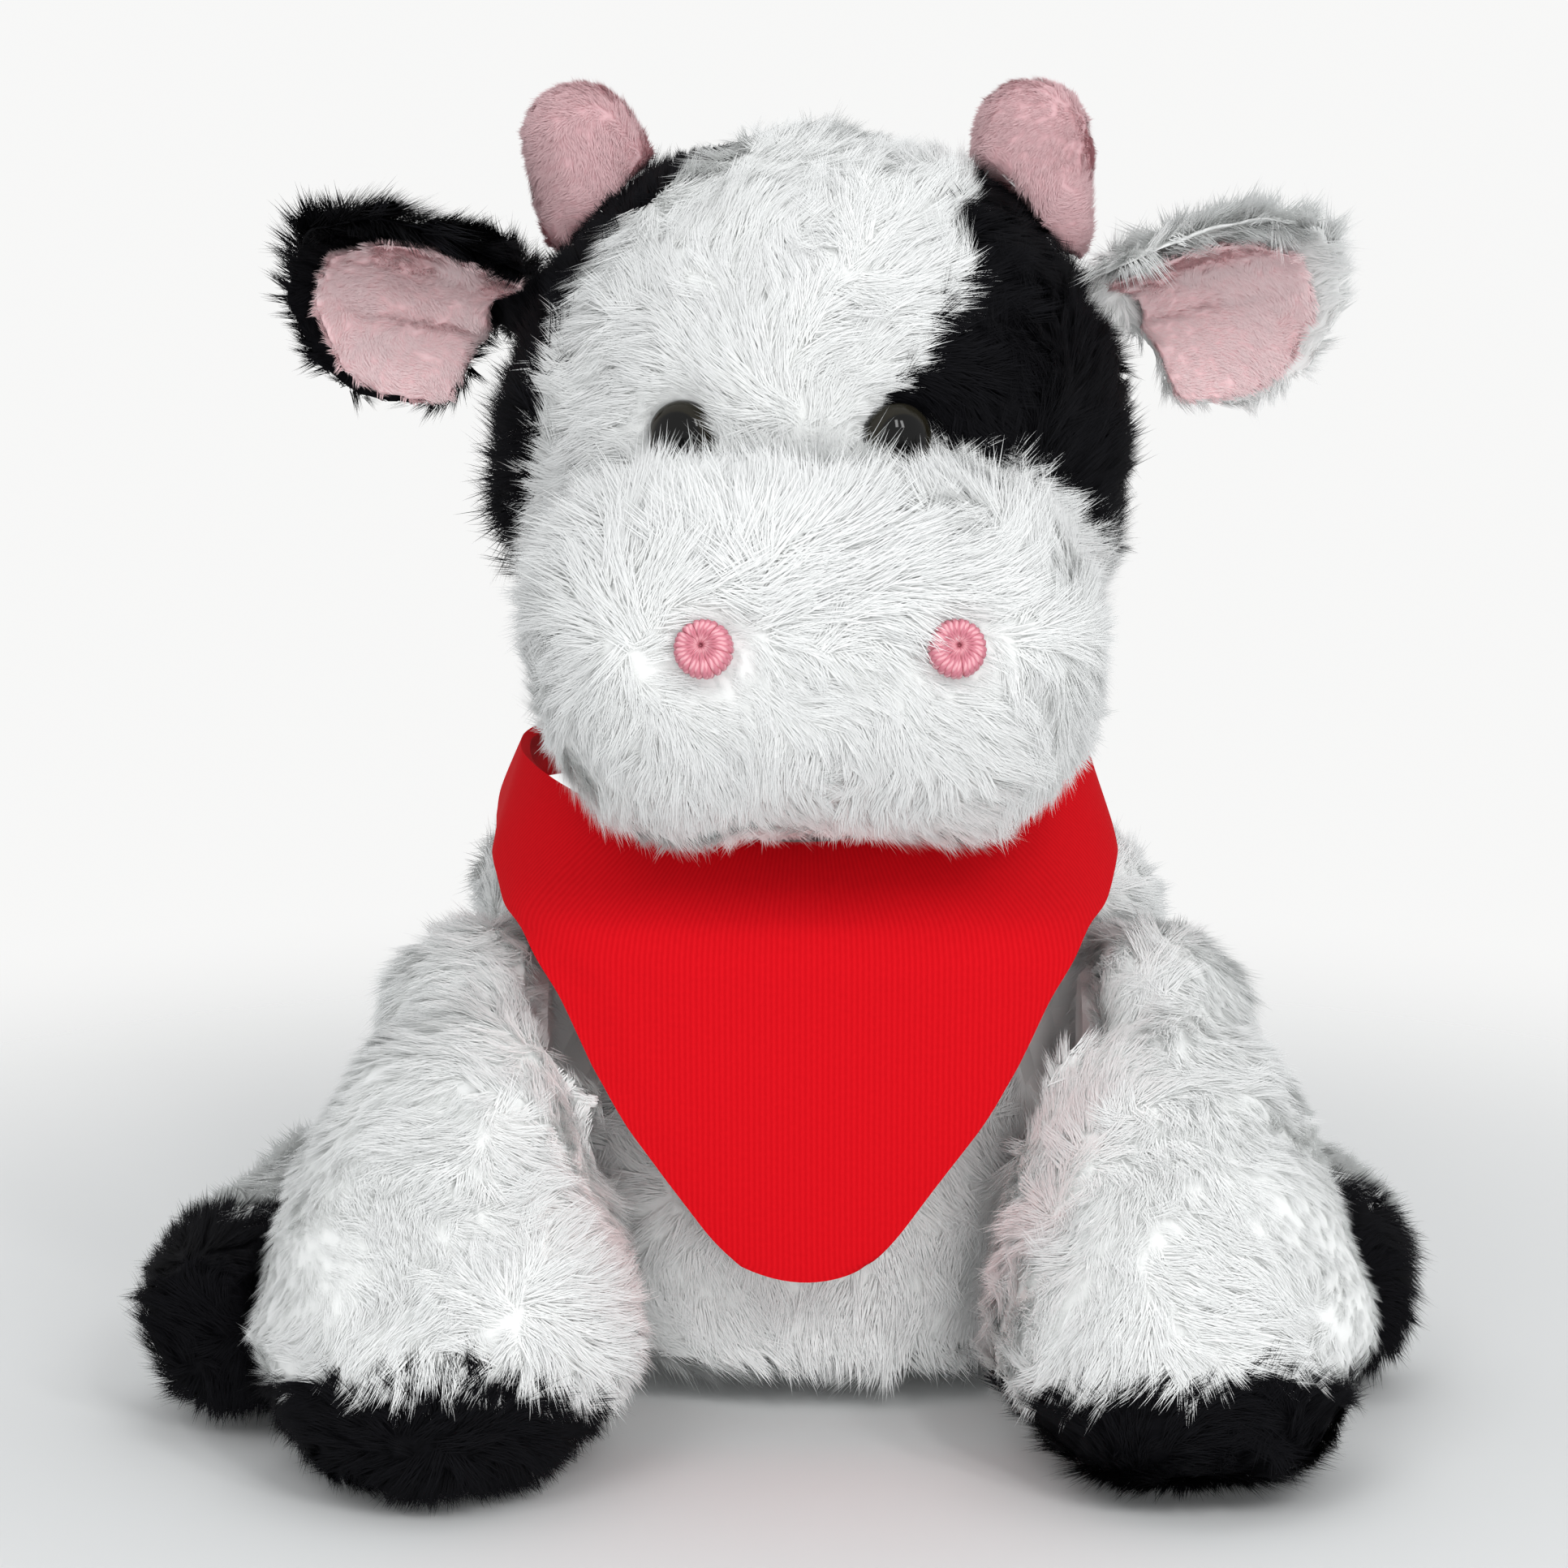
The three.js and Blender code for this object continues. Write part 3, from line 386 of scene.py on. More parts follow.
# %% [markdown]
# ## Scattering the pile
#
# One Geometry Nodes tree sets tufts on a skin. The skin brings three attributes: comb, the way that the
# pile lies, bare, which is 1 where a neighbour covers the skin, and pile, which scales the tufts. The
# tufts turn their +X side to the comb's direction. Each hair also keeps the cloth's own direction, as
# upward, which softens its light later.


# %% The pile tree
# No hair goes below this height over the floor
LOWEST_HAIR = 0.0002


def pile_tree():
    tree = bpy.data.node_groups.new("pile", "GeometryNodeTree")
    sockets = tree.interface
    sockets.new_socket("Skin", in_out="INPUT", socket_type="NodeSocketGeometry")
    for name, value in (("Density", 200000.0), ("Seed", 0), ("Smallest", 0.7), ("Largest", 1.25)):
        kind = "NodeSocketInt" if name == "Seed" else "NodeSocketFloat"
        sockets.new_socket(name, in_out="INPUT", socket_type=kind).default_value = value
    sockets.new_socket("Tufts", in_out="INPUT", socket_type="NodeSocketCollection")
    sockets.new_socket("Material", in_out="INPUT", socket_type="NodeSocketMaterial")
    sockets.new_socket("Plush", in_out="OUTPUT", socket_type="NodeSocketGeometry")
    made = tree.nodes
    link = tree.links.new

    start = made.new("NodeGroupInput")
    end = made.new("NodeGroupOutput")

    def attribute(name, kind):
        node = made.new("GeometryNodeInputNamedAttribute")
        node.data_type = kind
        node.inputs["Name"].default_value = name
        return node.outputs["Attribute"]

    open_share = maths(tree, "SUBTRACT", 1.0, attribute("bare", "FLOAT"))
    density = maths(tree, "MULTIPLY", open_share, start.outputs["Density"])
    scatter = made.new("GeometryNodeDistributePointsOnFaces")
    scatter.distribute_method = "RANDOM"
    upward = made.new("GeometryNodeStoreNamedAttribute")
    upward.data_type = "FLOAT_VECTOR"
    upward.inputs["Name"].default_value = "upward"
    link(scatter.outputs["Points"], upward.inputs["Geometry"])
    link(scatter.outputs["Normal"], upward.inputs["Value"])
    link(start.outputs["Skin"], scatter.inputs["Mesh"])
    link(density, scatter.inputs["Density"])
    link(start.outputs["Seed"], scatter.inputs["Seed"])

    upright = made.new("FunctionNodeAlignRotationToVector")
    upright.axis = "Z"
    link(scatter.outputs["Normal"], upright.inputs["Vector"])
    combed = made.new("FunctionNodeAlignRotationToVector")
    combed.axis = "X"
    combed.pivot_axis = "Z"
    link(upright.outputs["Rotation"], combed.inputs["Rotation"])
    link(attribute("comb", "FLOAT_VECTOR"), combed.inputs["Vector"])

    wobble = made.new("FunctionNodeRandomValue")
    wobble.data_type = "FLOAT_VECTOR"
    wobble.inputs["Min"].default_value = (-0.14, -0.14, -0.3)
    wobble.inputs["Max"].default_value = (0.14, 0.14, 0.3)
    wobble_turn = made.new("FunctionNodeEulerToRotation")
    link(wobble.outputs["Value"], wobble_turn.inputs["Euler"])
    turned = made.new("FunctionNodeRotateRotation")
    turned.rotation_space = "LOCAL"
    link(combed.outputs["Rotation"], turned.inputs["Rotation"])
    link(wobble_turn.outputs["Rotation"], turned.inputs["Rotate By"])

    size = made.new("FunctionNodeRandomValue")
    size.data_type = "FLOAT"
    link(start.outputs["Smallest"], size.inputs[2])
    link(start.outputs["Largest"], size.inputs[3])
    sized = maths(tree, "MULTIPLY", size.outputs[1], attribute("pile", "FLOAT"))

    kinds = made.new("GeometryNodeCollectionInfo")
    kinds.inputs["Separate Children"].default_value = True
    kinds.inputs["Reset Children"].default_value = True
    link(start.outputs["Tufts"], kinds.inputs["Collection"])
    stand = made.new("GeometryNodeInstanceOnPoints")
    stand.inputs["Pick Instance"].default_value = True
    link(upward.outputs["Geometry"], stand.inputs["Points"])
    link(kinds.outputs["Instances"], stand.inputs["Instance"])
    link(turned.outputs["Rotation"], stand.inputs["Rotation"])
    link(sized, stand.inputs["Scale"])
    real = made.new("GeometryNodeRealizeInstances")
    link(stand.outputs["Instances"], real.inputs["Geometry"])

    place = made.new("GeometryNodeInputPosition")
    parts = made.new("ShaderNodeSeparateXYZ")
    whole = made.new("ShaderNodeCombineXYZ")
    pressed = made.new("GeometryNodeSetPosition")
    link(place.outputs["Position"], parts.inputs["Vector"])
    link(parts.outputs["X"], whole.inputs["X"])
    link(parts.outputs["Y"], whole.inputs["Y"])
    link(maths(tree, "MAXIMUM", parts.outputs["Z"], LOWEST_HAIR), whole.inputs["Z"])
    link(real.outputs["Geometry"], pressed.inputs["Geometry"])
    link(whole.outputs["Vector"], pressed.inputs["Position"])

    both = made.new("GeometryNodeJoinGeometry")
    link(pressed.outputs["Geometry"], both.inputs["Geometry"])
    link(start.outputs["Skin"], both.inputs["Geometry"])
    painted = made.new("GeometryNodeSetMaterial")
    link(both.outputs["Geometry"], painted.inputs["Geometry"])
    link(start.outputs["Material"], painted.inputs["Material"])
    link(painted.outputs["Geometry"], end.inputs["Plush"])
    return tree


PILE = pile_tree()
print("pile tree with", len(PILE.nodes), "nodes")


# %% [markdown]
# ## Skins
#
# A skin starts from the CAD solids that it stands for. Copies of them are joined, remeshed into one
# closed surface, smoothed, and drawn in by the height of the pile.


# %% Skins
def evaluated(obj):
    """The object's mesh with its modifiers applied, as a new object in its place."""
    graph = bpy.context.evaluated_depsgraph_get()
    mesh = bpy.data.meshes.new_from_object(obj.evaluated_get(graph))
    old = obj.data
    obj.modifiers.clear()
    obj.data = mesh
    bpy.data.meshes.remove(old)
    return obj


def joined_copy(name, sources):
    """One new object with copies of the named CAD nodes."""
    work = bmesh.new()
    for source in sources:
        work.from_mesh(nodes[source].data)
    bmesh.ops.remove_doubles(work, verts=work.verts, dist=1e-6)
    mesh = bpy.data.meshes.new(name)
    work.to_mesh(mesh)
    work.free()
    obj = bpy.data.objects.new(name, mesh)
    scene.collection.objects.link(obj)
    return obj


def skin_form(name, sources, height, voxel, rounds, uneven):
    """A smooth closed surface round the sources, drawn in by the pile's height."""
    obj = joined_copy(name, sources)
    remesh = obj.modifiers.new("remesh", "REMESH")
    remesh.mode = "VOXEL"
    remesh.voxel_size = voxel
    smooth = obj.modifiers.new("smooth", "SMOOTH")
    smooth.factor = 0.5
    smooth.iterations = rounds
    draw_in = obj.modifiers.new("draw_in", "DISPLACE")
    draw_in.mid_level = 0
    draw_in.strength = -height
    settle = obj.modifiers.new("settle", "SMOOTH")
    settle.factor = 0.5
    settle.iterations = 3
    evaluated(obj)
    for vertex in obj.data.vertices:
        lumps = noise.noise(vertex.co * 34) + 0.6 * noise.noise(vertex.co * 85)
        vertex.co += vertex.normal * (uneven * lumps)
    shade_smooth(obj)
    return obj


def tree_of(obj):
    return BVHTree.FromPolygons(
        [v.co for v in obj.data.vertices], [p.vertices for p in obj.data.polygons]
    )


# Forms of plush: the body that each rides on, and the CAD nodes that it goes round
FORMS = {
    "torso": ("torso", ["torso_skin", "torso_stuffing", "pellet_bag"]),
    "head": ("head", ["head_skin", "eye_patch", "side_patch", "head_stuffing"]),
    "muzzle": ("head", ["muzzle_skin", "muzzle_stuffing"]),
    "tail": ("tail", ["tail"]),
    "tail_tuft": ("tail", ["tail_tuft"]),
    "ear_left": ("ear_left", ["ear_left_outer"]),
    "ear_right": ("ear_right", ["ear_right_outer"]),
}
for side in ("left", "right"):
    FORMS[f"lining_{side}"] = (f"ear_{side}", [f"ear_{side}_lining"])
    FORMS[f"horn_{side}"] = ("head", [f"horn_{side}_skin", f"horn_{side}_stuffing"])
    for leg in ("front", "hind"):
        FORMS[f"{leg}_leg_{side}"] = (
            f"{leg}_leg_{side}",
            [f"{leg}_leg_{side}_skin", f"{leg}_hoof_{side}", f"{leg}_leg_{side}_stuffing"],
        )

# How far a form is drawn in, its remesh's voxel, its rounds of smoothing and how uneven it is
PLUSH_FORM = (0.0034, 0.0025, 12, 0.0022)
LEAF_FORM = (0.001, 0.0012, 5, 0.0004)
LINING_FORM = (0.0003, 0.001, 4, 0.0003)
HORN_FORM = (0.0011, 0.0014, 8, 0.0004)
# An ear lining's crease: its height at the root and at the tip, in shares of the lining's height
CREASES = {"left": (0.44, 0.78), "right": (0.40, 0.60)}
CREASE = 0.0024
CREASE_WIDTH = 0.004
# A horn's foot reaches down into the head's pile from this height
ROOTED = 0.006
SPECIAL_FORMS = {"tail": LEAF_FORM, "tail_tuft": HORN_FORM, "muzzle": (0.003, 0.0025, 12, 0.0013)}
for side in ("left", "right"):
    SPECIAL_FORMS[f"ear_{side}"] = LEAF_FORM
    SPECIAL_FORMS[f"lining_{side}"] = LINING_FORM
    SPECIAL_FORMS[f"horn_{side}"] = HORN_FORM
forms = {}
for name, (_, sources) in FORMS.items():
    forms[name] = skin_form(f"{name}_form", sources, *SPECIAL_FORMS.get(name, PLUSH_FORM))
    print(name, "form with", len(forms[name].data.polygons), "faces")
head_tree = tree_of(forms["head"])
for side, (start, end) in CREASES.items():
    corner, far_corner = (Vector(v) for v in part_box(f"ear_{side}_lining"))
    for vertex in forms[f"lining_{side}"].data.vertices:
        place = vertex.co
        out = (place.x - corner.x) / (far_corner.x - corner.x)
        if side == "right":
            out = 1 - out
        line = corner.z + (far_corner.z - corner.z) * (start + (end - start) * out)
        above = (place.z - line) / CREASE_WIDTH
        fall = above if above > 0 else 3 * above
        place.y -= CREASE * math.exp(-fall * fall) * max(1 - 1.3 * out * out, 0)
for side in ("left", "right"):
    for vertex in forms[f"horn_{side}"].data.vertices:
        nearest, _, _, away = head_tree.find_nearest(vertex.co)
        if away < ROOTED:
            vertex.co += (nearest - vertex.co).normalized() * min((ROOTED - away) * 1.4, away)
form_trees = {name: tree_of(obj) for name, obj in forms.items()}

# %% [markdown]
# ## Plush pieces
#
# A form is parted into panels of one colour by the nearest CAD node. Each panel gets its comb, its pile
# and a cloth thickness. Each hair's normals are then turned most of the way to those of the cloth under
# it, which changes the light on the pile and not its form.


# %% Plush pieces
def node_tree_of(name):
    mesh = nodes[name].data
    return BVHTree.FromPolygons(
        [v.co for v in mesh.vertices], [p.vertices for p in mesh.polygons]
    )


def clamped(value):
    return min(max(value, 0), 1)


def swirl(place, scale, seed):
    """A smooth random vector at a place."""
    spot = place * scale + Vector((seed + 0.5, 3 * seed + 0.2, 7 * seed + 0.7))
    return Vector([noise.noise(spot + Vector((0, 0, 31.4 * k))) for k in range(3)])


def panel_of(form, name, node, others, bias):
    """The part of a form that lies nearer to one CAD node than to the others, give or take a bias."""
    own = node_tree_of(node)
    rest = [node_tree_of(other) for other in others]
    work = bmesh.new()
    work.from_mesh(form.data)
    away = []
    for face in work.faces:
        place = face.calc_center_median()
        near = own.find_nearest(place)[3]
        shift = bias(place) if callable(bias) else bias
        near -= shift * (1 + 0.5 * swirl(place, 110, 2).x)
        if any(other.find_nearest(place)[3] < near for other in rest):
            away.append(face)
    bmesh.ops.delete(work, geom=away, context="FACES")
    mesh = bpy.data.meshes.new(name)
    work.to_mesh(mesh)
    work.free()
    obj = bpy.data.objects.new(name, mesh)
    scene.collection.objects.link(obj)
    return obj


# The share by which a hair's normals follow the cloth
SOFTNESS = 0.93


def soften(mesh):
    """Turn each hair's normals towards the normal of the cloth under it, so that the pile looks soft."""
    count = len(mesh.vertices)
    own = np.zeros(count * 3, np.float32)
    mesh.vertex_normals.foreach_get("vector", own)
    cloth = np.zeros(count * 3, np.float32)
    mesh.attributes["upward"].data.foreach_get("vector", cloth)
    own, cloth = own.reshape(-1, 3), cloth.reshape(-1, 3)
    hair = np.linalg.norm(cloth, axis=1) > 0.5
    facing = np.where((own * cloth).sum(axis=1) < 0, -1, 1)[:, None]
    mixed = np.where(hair[:, None], SOFTNESS * cloth * facing + (1 - SOFTNESS) * own, own)
    mixed /= np.linalg.norm(mixed, axis=1)[:, None]
    mesh.normals_split_custom_set_from_vertices(mixed.tolist())


# The bandana presses the pile down to this share where it is nearer than this
PRESSED = 0.0085
PRESSED_PILE = 0.38
# A skin is bare this near to another form, straight ahead and to any side
TUCKED = 0.0025
TOUCHING = 0.0011
SEARCH = 0.05
# The sole that rests on the floor is bare: its height, and how far its normals point down
SOLE_HEIGHT = 0.0035
SOLE_DOWN = -0.8
PANEL_CLOTH = 0.0012


def covered(tree, place, normal):
    """Whether a place on a skin is inside another form, or right under or against it."""
    hit, facing, _, away = tree.ray_cast(place, normal, SEARCH)
    if hit is not None and (facing.dot(normal) > 0 or away < TUCKED):
        return True
    return tree.find_nearest(place, TOUCHING)[0] is not None


def plush(name, form_name, nodes_shown, others, material, comb, tufts, density, seed, slot,
          hidden_by=(), pressed_by=(), clearings=(), pile=1.0, bias=0.0, fill=0.8, messy=1.0):
    """A panel of plush that rides on its body and stands for its CAD nodes."""
    form = forms[form_name]
    if others:
        obj = panel_of(form, name, nodes_shown[0], others, bias)
    else:
        obj = form.copy()
        obj.data = form.data.copy()
        obj.name = name
        scene.collection.objects.link(obj)
    mesh = obj.data
    count = len(mesh.vertices)
    combs = np.zeros((count, 3), np.float32)
    bare = np.zeros(count, np.float32)
    piles = np.ones(count, np.float32)
    for i, vertex in enumerate(mesh.vertices):
        place, normal = vertex.co, vertex.normal
        way = Vector(comb(place, normal)).normalized()
        way += messy * (1.9 * swirl(place, 17, seed) + 2.4 * swirl(place, 42, seed + 2))
        way += messy * 2.2 * swirl(place, 120, seed + 5)
        way -= normal * way.dot(normal)
        combs[i] = way.normalized()
        longer = pile(place) if callable(pile) else pile
        piles[i] = longer * (1 + 0.25 * swirl(place, 60, seed + 9).x)
        if any(covered(form_trees[other], place, normal) for other in hidden_by):
            bare[i] = 1
        for cloth in pressed_by:
            if cloth.ray_cast(place, normal, PRESSED)[0] is not None:
                piles[i] = min(piles[i], PRESSED_PILE)
        for middle, none, full in clearings:
            away = (place - middle).length
            if away < none:
                bare[i] = 1
            elif away < full:
                piles[i] *= 0.3 + 0.7 * (away - none) / (full - none)
        if place.z < SOLE_HEIGHT and normal.z < SOLE_DOWN:
            bare[i] = 1
    for key, kind, values in (
        ("comb", "FLOAT_VECTOR", combs),
        ("bare", "FLOAT", bare),
        ("pile", "FLOAT", piles),
    ):
        layer = mesh.attributes.new(key, kind, "POINT")
        layer.data.foreach_set("vector" if kind == "FLOAT_VECTOR" else "value", values.ravel())
    # The cloth under the pile reads the root end of the map, so it takes the pile's painted shade too
    skin_map = mesh.uv_layers.new(name="OFBake")
    column = (COLUMNS - 1) / COLUMNS
    corners = [(column + 0.001, 0.02), (0.999, 0.02), (0.999, 0.2), (column + 0.001, 0.2)]
    places = [corners[k % 4] for face in mesh.polygons for k in range(face.loop_total)]
    skin_map.data.foreach_set("uv", np.array(places, np.float32).ravel())
    if others:
        wall = obj.modifiers.new("cloth", "SOLIDIFY")
        wall.thickness = PANEL_CLOTH
        wall.offset = -1
    grow = obj.modifiers.new("pile", "NODES")
    grow.node_group = PILE
    values = {
        "Density": density,
        "Seed": seed,
        "Tufts": tufts,
        "Material": material,
        "Smallest": 0.75,
        "Largest": 1.2,
    }
    for item in PILE.interface.items_tree:
        if item.in_out == "INPUT" and item.name in values:
            grow[item.identifier] = values[item.name]
    evaluated(obj)
    shade_smooth(obj)
    soften(obj.data)
    for key in ("comb", "bare", "pile", "upward"):
        if key in obj.data.attributes:
            obj.data.attributes.remove(obj.data.attributes[key])
    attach(obj, FORMS[form_name][0])
    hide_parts(*nodes_shown)
    triangles = sum(len(p.vertices) - 2 for p in obj.data.polygons)
    print(name, "has", triangles, "triangles")


def middle_of(name):
    low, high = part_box(name)
    return (Vector(low) + Vector(high)) / 2


FACE = Vector((NECK.x, NECK.y - 0.05, NECK.z + 0.075))
NOSE = Vector((NECK.x, NECK.y - 0.09, NECK.z + 0.05))


def down(place, normal):
    return Vector((0, 0, -1))


def from_face(place, normal):
    return (place - FACE) * 18 + Vector((0, 0, -0.25))


def from_face_back(place, normal):
    """Like from_face, but turned backwards on top of the head."""
    share = clamped((place.z - NECK.z - 0.07) / 0.03)
    return from_face(place, normal) * (1 - share) + Vector((0, 1.5, -0.3)) * share


def from_nose(place, normal):
    """Away from the line between the nostrils."""
    aside = min(max(place.x - NOSE.x, -0.022), 0.022)
    return (place - NOSE - Vector((aside, 0, 0))) * 22 + Vector((0.3, 0, -0.3))


def outwards(root):
    return lambda place, normal: (place - root) * 30


def leg_comb(sign):
    return lambda place, normal: Vector((0.35 * sign, -0.25, -1))


def muzzle_pile(place):
    """Longer on top of the muzzle: it hides the foot of each eye and fills the groove between them."""
    share = clamped((place.z - NECK.z - 0.052) / 0.016)
    between = clamped(1.6 - abs(place.x - NOSE.x) / 0.014)
    return 0.9 + (0.6 + 0.3 * between) * share


def ear_pile(place):
    """Longer on the upper side of an ear."""
    share = clamped((place.z - NECK.z - 0.1) / 0.02)
    return 0.65 + 0.6 * share


def leg_pile(root, sign):
    """Shorter on the outer side of a front leg, where the hoof behind it looks out."""
    return lambda place: 0.9 - 0.4 * clamped(((place.x - root.x) * sign - 0.012) / 0.02)


def side_pile(place):
    """Long beside the head, and short on top of it between the horns."""
    top = clamped((place.z - NECK.z - 0.07) / 0.03)
    between = clamped((place.x - NECK.x + 0.03) / 0.012)
    return 1.6 - (0.55 + 0.9 * between) * top


def horn_side(place):
    """How far the black side panel reaches round the foot of the horn beside it."""
    aside = clamped((NECK.x - 0.012 - place.x) / 0.015)
    return 0.0055 * aside * clamped((place.z - NECK.z - 0.05) / 0.02)


# Tufts to a square metre
LONG = 340000
SHORT = 1000000
# Round an eye or a rosette the pile is bare up to the first radius and whole from the second
EYE_CLEARING = (0.0060, 0.011)
ROSETTE_CLEARING = (0.0054, 0.011)
EYE_FORWARD = Vector((0, -0.003, 0))
cloths = [node_tree_of("bandana_band"), node_tree_of("bandana_flap")]
eyes = [(middle_of(f"eye_{side}") + EYE_FORWARD, *EYE_CLEARING) for side in ("left", "right")]
rosettes = [(middle_of(f"nostril_{side}"), *ROSETTE_CLEARING) for side in ("left", "right")]
around_head = {"hidden_by": ["muzzle", "torso", "horn_left", "horn_right"], "clearings": eyes}
plush("head_plush", "head", ["head_skin"], ["eye_patch", "side_patch"], WHITE, from_face, long_tufts,
      LONG, 1, "white_plush", bias=lambda place: -horn_side(place), **around_head)
plush("eye_patch_plush", "head", ["eye_patch"], ["head_skin", "side_patch"], BLACK, from_face,
      long_tufts, LONG, 2, "black_plush", **around_head)
plush("side_patch_plush", "head", ["side_patch"], ["head_skin", "eye_patch"], BLACK, from_face_back,
      long_tufts, LONG, 3, "black_plush", pile=side_pile, messy=0.45, bias=horn_side,
      **around_head)
plush("muzzle_plush", "muzzle", ["muzzle_skin"], [], WHITE, from_nose, long_tufts, LONG, 4,
      "white_plush", hidden_by=["head"], clearings=rosettes, pile=muzzle_pile)
legs = [f"{leg}_leg_{side}" for leg in ("front", "hind") for side in ("left", "right")]
plush("torso_plush", "torso", ["torso_skin"], [], WHITE, down, long_tufts, 0.7 * LONG, 5, "white_plush",
      hidden_by=["head", *legs], pressed_by=cloths)
for number, side in enumerate(("left", "right")):
    sign = 1 if side == "left" else -1
    for leg in ("front", "hind"):
        key = f"{leg}_leg_{side}"
        seed = 10 + 4 * number + (2 if leg == "hind" else 0)
        around = ["torso", f"{'hind' if leg == 'front' else 'front'}_leg_{side}"]
        skin, hoof = f"{key}_skin", f"{leg}_hoof_{side}"
        root = Vector(joints[f"{key}_{'lift' if leg == 'front' else 'swing'}"]["pos_m"])
        comb = leg_comb(sign) if leg == "front" else outwards(root)
        plush(f"{key}_plush", key, [skin], [hoof], WHITE, comb, long_tufts, LONG, seed,
              "white_plush", hidden_by=around, pressed_by=cloths, bias=-0.0035,
              pile=leg_pile(root, sign) if leg == "front" else 0.9)
        plush(f"{leg}_hoof_{side}_plush", key, [hoof], [skin], BLACK, outwards(middle_of(hoof)),
              long_tufts, LONG, seed + 1, "black_plush", hidden_by=around, pile=0.9, bias=0.0035)
plush("tail_plush", "tail", ["tail"], [], WHITE, down, long_tufts, LONG, 30, "white_plush", pile=0.5)
plush("tail_tuft_plush", "tail_tuft", ["tail_tuft"], [], BLACK, down, long_tufts, LONG, 31,
      "black_plush", pile=1.2)
for side, material, slot in (("left", WHITE, "white_plush"), ("right", BLACK, "black_plush")):
    root = Vector(joints[f"ear_{side}_flap"]["pos_m"])
    plush(f"ear_{side}_plush", f"ear_{side}", [f"ear_{side}_outer"], [], material, outwards(root),
          long_tufts, LONG, 33, slot, hidden_by=[f"lining_{side}"], pile=ear_pile)
    plush(f"ear_{side}_lining_plush", f"lining_{side}", [f"ear_{side}_lining"], [], PALE_PINK,
          outwards(root), short_tufts, SHORT, 35, "pink_velour", hidden_by=[f"ear_{side}"])
    plush(f"horn_{side}_plush", f"horn_{side}", [f"horn_{side}_skin"], [], PINK, down, short_tufts,
          SHORT, 37, "pink_velour", hidden_by=["head"])
for form in forms.values():
    bpy.data.objects.remove(form)
total = sum(len(p.vertices) - 2 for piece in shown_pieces() for p in piece.data.polygons)
print("plush pieces done, with", total, "triangles in all")

# %% [markdown]
# ## Eyes
#
# Each eye is a plastic dome. A smooth glossy dome is fitted over the solid one, with a map that runs from
# its middle to its rim: a black pupil in a very dark brown iris. The solid takes the same material.


# %% Eyes
def axis_of(points, thin):
    """The middle of some points, and their thinnest or longest direction, pointing out of the head."""
    middle = (points.min(axis=0) + points.max(axis=0)) / 2
    ways = np.linalg.svd(points - points.mean(axis=0))[2]
    axis = Vector(ways[2] if thin else ways[0])
    if axis.y > 0:
        axis.negate()
    return Vector(middle), axis


def corners_of(name):
    return np.array([v.co for v in nodes[name].data.vertices])


def turned_form(name, profile, sides, middle, axis):
    """A surface of revolution with a map from its middle to its rim. The profile is (radius, height)."""
    turn = axis.to_track_quat("Z", "Y").to_matrix()
    points, faces, maps = [], [], []
    for radius, height in profile:
        for k in range(sides):
            a = 2 * math.pi * k / sides
            points.append(middle + turn @ Vector((radius * math.cos(a), radius * math.sin(a), height)))
    count = len(profile)
    for i in range(count - 1):
        for k in range(sides):
            n = (k + 1) % sides
            faces.append((i * sides + k, (i + 1) * sides + k, (i + 1) * sides + n, i * sides + n))
            for step, column in ((i, k), (i + 1, k), (i + 1, k + 1), (i, k + 1)):
                maps.append((column / sides, step / (count - 1)))
    faces.append(tuple(range(sides)))
    maps += [(0.5, 0.001 * (k % 3)) for k in range(sides)]
    obj = mapped_object(name, points, faces, maps)
    shade_smooth(obj)
    scene.collection.objects.link(obj)
    return obj


eye_material, tree, shader = new_material("eye_plastic", 0.05, 0.24)
_, _, from_middle = map_parts(tree)
rings = tree.nodes.new("ShaderNodeValToRGB")
rings.color_ramp.elements[0].position = 0.44
rings.color_ramp.elements[0].color = (0.002, 0.002, 0.002, 1)
rings.color_ramp.elements[1].position = 0.5
rings.color_ramp.elements[1].color = (0.015, 0.013, 0.008, 1)
rim = rings.color_ramp.elements.new(0.78)
rim.color = (0.020, 0.018, 0.012, 1)
edge = rings.color_ramp.elements.new(0.9)
edge.color = (0.003, 0.003, 0.003, 1)
tree.links.new(from_middle, rings.inputs["Fac"])
tree.links.new(rings.outputs["Color"], shader.inputs["Base Color"])
EYE_RADIUS = 0.0061
EYE_RIM = 0.0008
EYE_DOME = 0.0047
EYE_RINGS = 16
EYE_SIDES = 64
EYE_FOOT = 0.0004
OVER_SOLID = 0.0001
for side in ("left", "right"):
    points = corners_of(f"eye_{side}")
    _, axis = axis_of(points, False)
    along = points @ np.array(axis)
    on_axis = Vector(points[np.argmax(along)])
    foot = on_axis - axis * EYE_DOME
    crown = EYE_DOME + OVER_SOLID
    profile = [(EYE_RADIUS * 0.02, crown)]
    for k in range(1, EYE_RINGS + 1):
        a = math.pi / 2 * k / EYE_RINGS
        profile.append((EYE_RADIUS * math.sin(a), EYE_RIM + (crown - EYE_RIM) * math.cos(a)))
    profile.append((EYE_RADIUS, -EYE_FOOT))
    dome = turned_form(f"eye_{side}_dome", profile, EYE_SIDES, foot, axis)
    dome.data.materials.append(eye_material)
    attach(dome, "head")
    nodes[f"eye_{side}"].data.materials.clear()
    nodes[f"eye_{side}"].data.materials.append(eye_material)
print("two glossy eyes")
